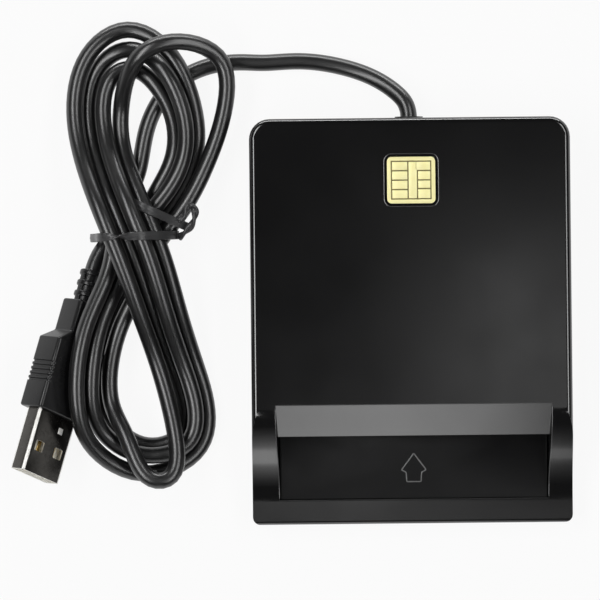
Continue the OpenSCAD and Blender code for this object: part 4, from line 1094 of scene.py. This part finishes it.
def makeChip():
    c = chip
    half, deep, high = c["side"] / 2, c["height"] - c["dimpleIn"], c["height"] + c["dimpleOut"]
    dimple = lathe([(axisR, deep), (c["dimpleR"][0], deep), (c["dimpleR"][1], high), (axisR, high)],
                   c["dimpleSides"])
    body = cut(bevelled(boxMesh((-half, -half, c["stand"]), (half, half, c["height"])), c["edge"]),
               put(dimple, *c["dimple"], 0))
    side = inRow(ribbon(c["legPath"], c["legT"], c["legW"]), c["legs"], (c["pitch"], 0, 0),
                 material="solder")
    side = put(side, -(c["legs"] - 1) / 2 * c["pitch"], 0, 0)
    legs = inRow(side, c["sides"], turn=360 / c["sides"], material="solder")
    return put(dressed((body, 0), (legs, 1)), *c["middle"], c["boardTop"])


smalls = {"count": 5, "pitch": 3.4, "wide": 1.25, "long": 2, "end": 0.42, "endR": 0.08,
          "bodyIn": 0.03, "bodyLap": 0.1, "bodyR": 0.06}


def makeSmalls(node, material):
    low, high = boxOf(node)
    s, w, l, h = smalls, smalls["wide"], smalls["long"], high.z - low.z
    e, back, start = s["end"], s["bodyIn"], s["end"] - s["bodyLap"]
    body = bevelled(boxMesh((back, start, back), (w - back, l - start, h - back)), s["bodyR"],
                    segments=2)
    ends = joined([bevelled(boxMesh((0, y, 0), (w, y + e, h)), s["endR"], segments=2)
                   for y in (0, l - e)])
    both = [inRow(mesh, s["count"], (s["pitch"], 0, 0), material=name)
            for mesh, name in ((body, material), (ends, "solder"))]
    return put(dressed(*zip(both, (0, 1))), *low)


# how far each ring lies inside the can's box, and its height; at "top" it counts down from there
can = {"low": ((0.04, 0), (0, 0.05), (0, 0.2), (0.06, 0.26), (0.3, 0.28), (0.34, 0.36)),
       "top": ((0.36, 0.25), (0.42, 0.1), (0.52, 0.02), (0.66, 0)), "smooth": 40}


def makeCrystal():
    low, high = boxOf("crystal")
    w, l, h = high - low
    levels = [*can["low"], *((inset, h - down) for inset, down in can["top"])]
    mesh = loft([ringAt((0, 0), z, w - 2 * inset, l - 2 * inset, l / 4) for inset, z in levels])
    middle = (low + high) / 2
    return put(markEdges(facesOut(mesh), can["smooth"]), middle.x, middle.y, low.z)


leads = {"finishes": ("wireRed", "wireWhite", "wireGreen", "wireBlack"), "d": 0.7, "pitch": 0.78,
         "startY": 44.6, "socket": (15, 43, 7.5), "way": 2, "bend": 1.5, "baseTop": 2.6,
         "exitZ": 6.5, "into": 0.1, "perPoint": 5, "sides": 12}


def makeLead(i):
    n = leads
    side = i - (len(n["finishes"]) - 1) / 2
    b, y0, endX, low = n["bend"], n["startY"], n["socket"][0] + side * n["way"], n["socket"][2]
    y1, row = n["socket"][1], n["exitZ"] - side * n["pitch"]
    run = n["baseTop"] + n["d"] + (len(n["finishes"]) - 1 - i) * n["pitch"]
    points = [(0, y0 + b, row), (0, y0, row), (0, y0 - b, row), (b, y0 - b, row),
              (2 * b, y1, (row + run) / 2), (4 * b, y1, run), (endX - 2 * b, y1, run),
              (endX - b / 2, y1, run), (endX, y1, low - b), (endX, y1, low - n["into"]),
              (endX, y1, low + b - 2 * n["into"])]
    return sweep(smoothLine([Vector(p) for p in points], n["perPoint"]), circle(n["d"], n["sides"]))


addPiece("controllerChip", makeChip(), ["chip_black", "solder"], ("controller_chip",))
for name, material in (("capacitors", "capacitor_tan"), ("resistors", "resistor_black")):
    addPiece(name, makeSmalls(name, material), [material, "solder"], (name,))
addPiece("crystal", makeCrystal(), ["can_steel"], ("crystal",))
addPiece("innerLeads", dressed(*((makeLead(i), i) for i in range(len(leads["finishes"])))),
         leads["finishes"], ("inner_leads",))
print("inner pieces made")


# a plain pale floor, seen as white, and soft light
studio = {"floorSize": 8, "floorColour": 0.6, "floorRoughness": 0.9, "shadow": 0.08, "dome": 0.05,
          "overhead": 0.05, "horizon": (0.03, 0.2)}


def linked(tree, *pairs):
    for start, end in pairs:
        tree.links.new(start, end)


def seenRays(tree):
    # 1 for rays from the camera, and for those that gloss, metal or glass send on
    add = tree.nodes.new
    rays, gloss, both = add("ShaderNodeLightPath"), add("ShaderNodeMath"), add("ShaderNodeMath")
    gloss.operation = both.operation = "MAXIMUM"
    linked(tree, (rays.outputs["Is Glossy Ray"], gloss.inputs[0]),
           (rays.outputs["Is Transmission Ray"], gloss.inputs[1]),
           (rays.outputs["Is Camera Ray"], both.inputs[0]), (gloss.outputs[0], both.inputs[1]))
    return both.outputs[0]


def makeFloor():
    half = studio["floorSize"] / 2
    mesh = meshFrom([(-half, -half, 0), (half, -half, 0), (half, half, 0), (-half, half, 0)],
                    [(0, 1, 2, 3)])
    material = bpy.data.materials.new("paleFloor")
    material.use_nodes = True
    tree = material.node_tree
    add = tree.nodes.new
    shader, out = tree.nodes["Principled BSDF"], tree.nodes["Material Output"]
    shader.inputs["Base Color"].default_value = (*[studio["floorColour"]] * 3, 1)
    shader.inputs["Roughness"].default_value = studio["floorRoughness"]
    white, mix, share = add("ShaderNodeEmission"), add("ShaderNodeMixShader"), add("ShaderNodeMath")
    share.operation = "MULTIPLY"
    share.inputs[1].default_value = 1 - studio["shadow"]
    linked(tree, (seenRays(tree), share.inputs[0]), (share.outputs[0], mix.inputs[0]),
           (shader.outputs[0], mix.inputs[1]), (white.outputs[0], mix.inputs[2]),
           (mix.outputs[0], out.inputs[0]))
    mesh.materials.append(material)
    floor = bpy.data.objects.new("floor", mesh)
    scene.collection.objects.link(floor)


def makeLamp(name, place, target, size, bright):
    # bright is what a camera would read off the lamp, where 1 is white
    data = bpy.data.lights.new(name, "AREA")
    data.shape = "RECTANGLE"
    data.size, data.size_y = size
    data.energy = bright * math.pi * size[0] * size[1]
    lamp = bpy.data.objects.new(name, data)
    scene.collection.objects.link(lamp)
    lamp.location = place
    lamp.rotation_mode = "QUATERNION"
    lamp.rotation_quaternion = (Vector(target) - Vector(place)).to_track_quat("-Z", "Y")


def makeWorld():
    world = bpy.data.worlds.new("studio")
    scene.world = world
    world.use_nodes = True
    tree = world.node_tree
    add = tree.nodes.new
    plain, out = tree.nodes["Background"], tree.nodes["World Output"]
    plain.inputs["Strength"].default_value = studio["dome"]
    plain.inputs["Color"].default_value = (1, 1, 1, 1)
    seen, mix = add("ShaderNodeBackground"), add("ShaderNodeMixShader")
    # white at the horizon and below, darker overhead
    way, split = add("ShaderNodeTexCoord"), add("ShaderNodeSeparateXYZ")
    height = add("ShaderNodeMapRange")
    height.interpolation_type = "SMOOTHSTEP"
    for label, value in zip(("From Min", "From Max", "To Min", "To Max"),
                            (*studio["horizon"], 1, studio["overhead"])):
        height.inputs[label].default_value = value
    linked(tree, (way.outputs["Generated"], split.inputs[0]),
           (split.outputs["Z"], height.inputs["Value"]),
           (height.outputs[0], seen.inputs["Strength"]), (seenRays(tree), mix.inputs[0]),
           (plain.outputs[0], mix.inputs[1]), (seen.outputs[0], mix.inputs[2]),
           (mix.outputs[0], out.inputs[0]))


makeFloor()
makeWorld()
lamps = {
    "leftPanel": ((-0.72, 0, 1.28), (0, 0, 0), (1.8, 0.44), 6.4),
    "rightPanel": ((0.74, 0, 1.24), (0, 0, 0), (1.8, 0.4), 4.4),
    "rearPanel": ((0, 1.4, 0.15), (0, 0, 0), (1.8, 0.15), 14),
    "glowPanel": ((0.075, -0.025, 1.5), (0.075, -0.025, 0), (0.09, 0.1), 0.8),
    "lipPanel": ((-0.01, -0.112, 1.5), (-0.01, -0.112, 0), (0.1, 0.066), 0.8),
}
for name, lamp in lamps.items():
    makeLamp(name, *lamp)

# the front light is a narrow upright panel that fades upwards, in strips; degrees from overhead
fade = {"aim": (0, 0, 0.02), "wide": 0.12, "far": 1.4, "first": 36, "strip": 4.75,
        "bright": (0.08, 0.16, 0.28, 0.44, 0.6, 0.8, 1, 1.25, 1.75, 2.4, 2.1, 0.65)}
for i, bright in enumerate(fade["bright"]):
    a = math.radians(fade["first"] + i * fade["strip"])
    place = Vector(fade["aim"]) + Vector((0, -math.sin(a), math.cos(a))) * fade["far"]
    tall = fade["far"] * math.radians(fade["strip"])
    makeLamp("frontStrip" + str(i + 1), place, fade["aim"], (fade["wide"], tall), bright)
scene.view_settings.view_transform = "Standard"
print("studio made")
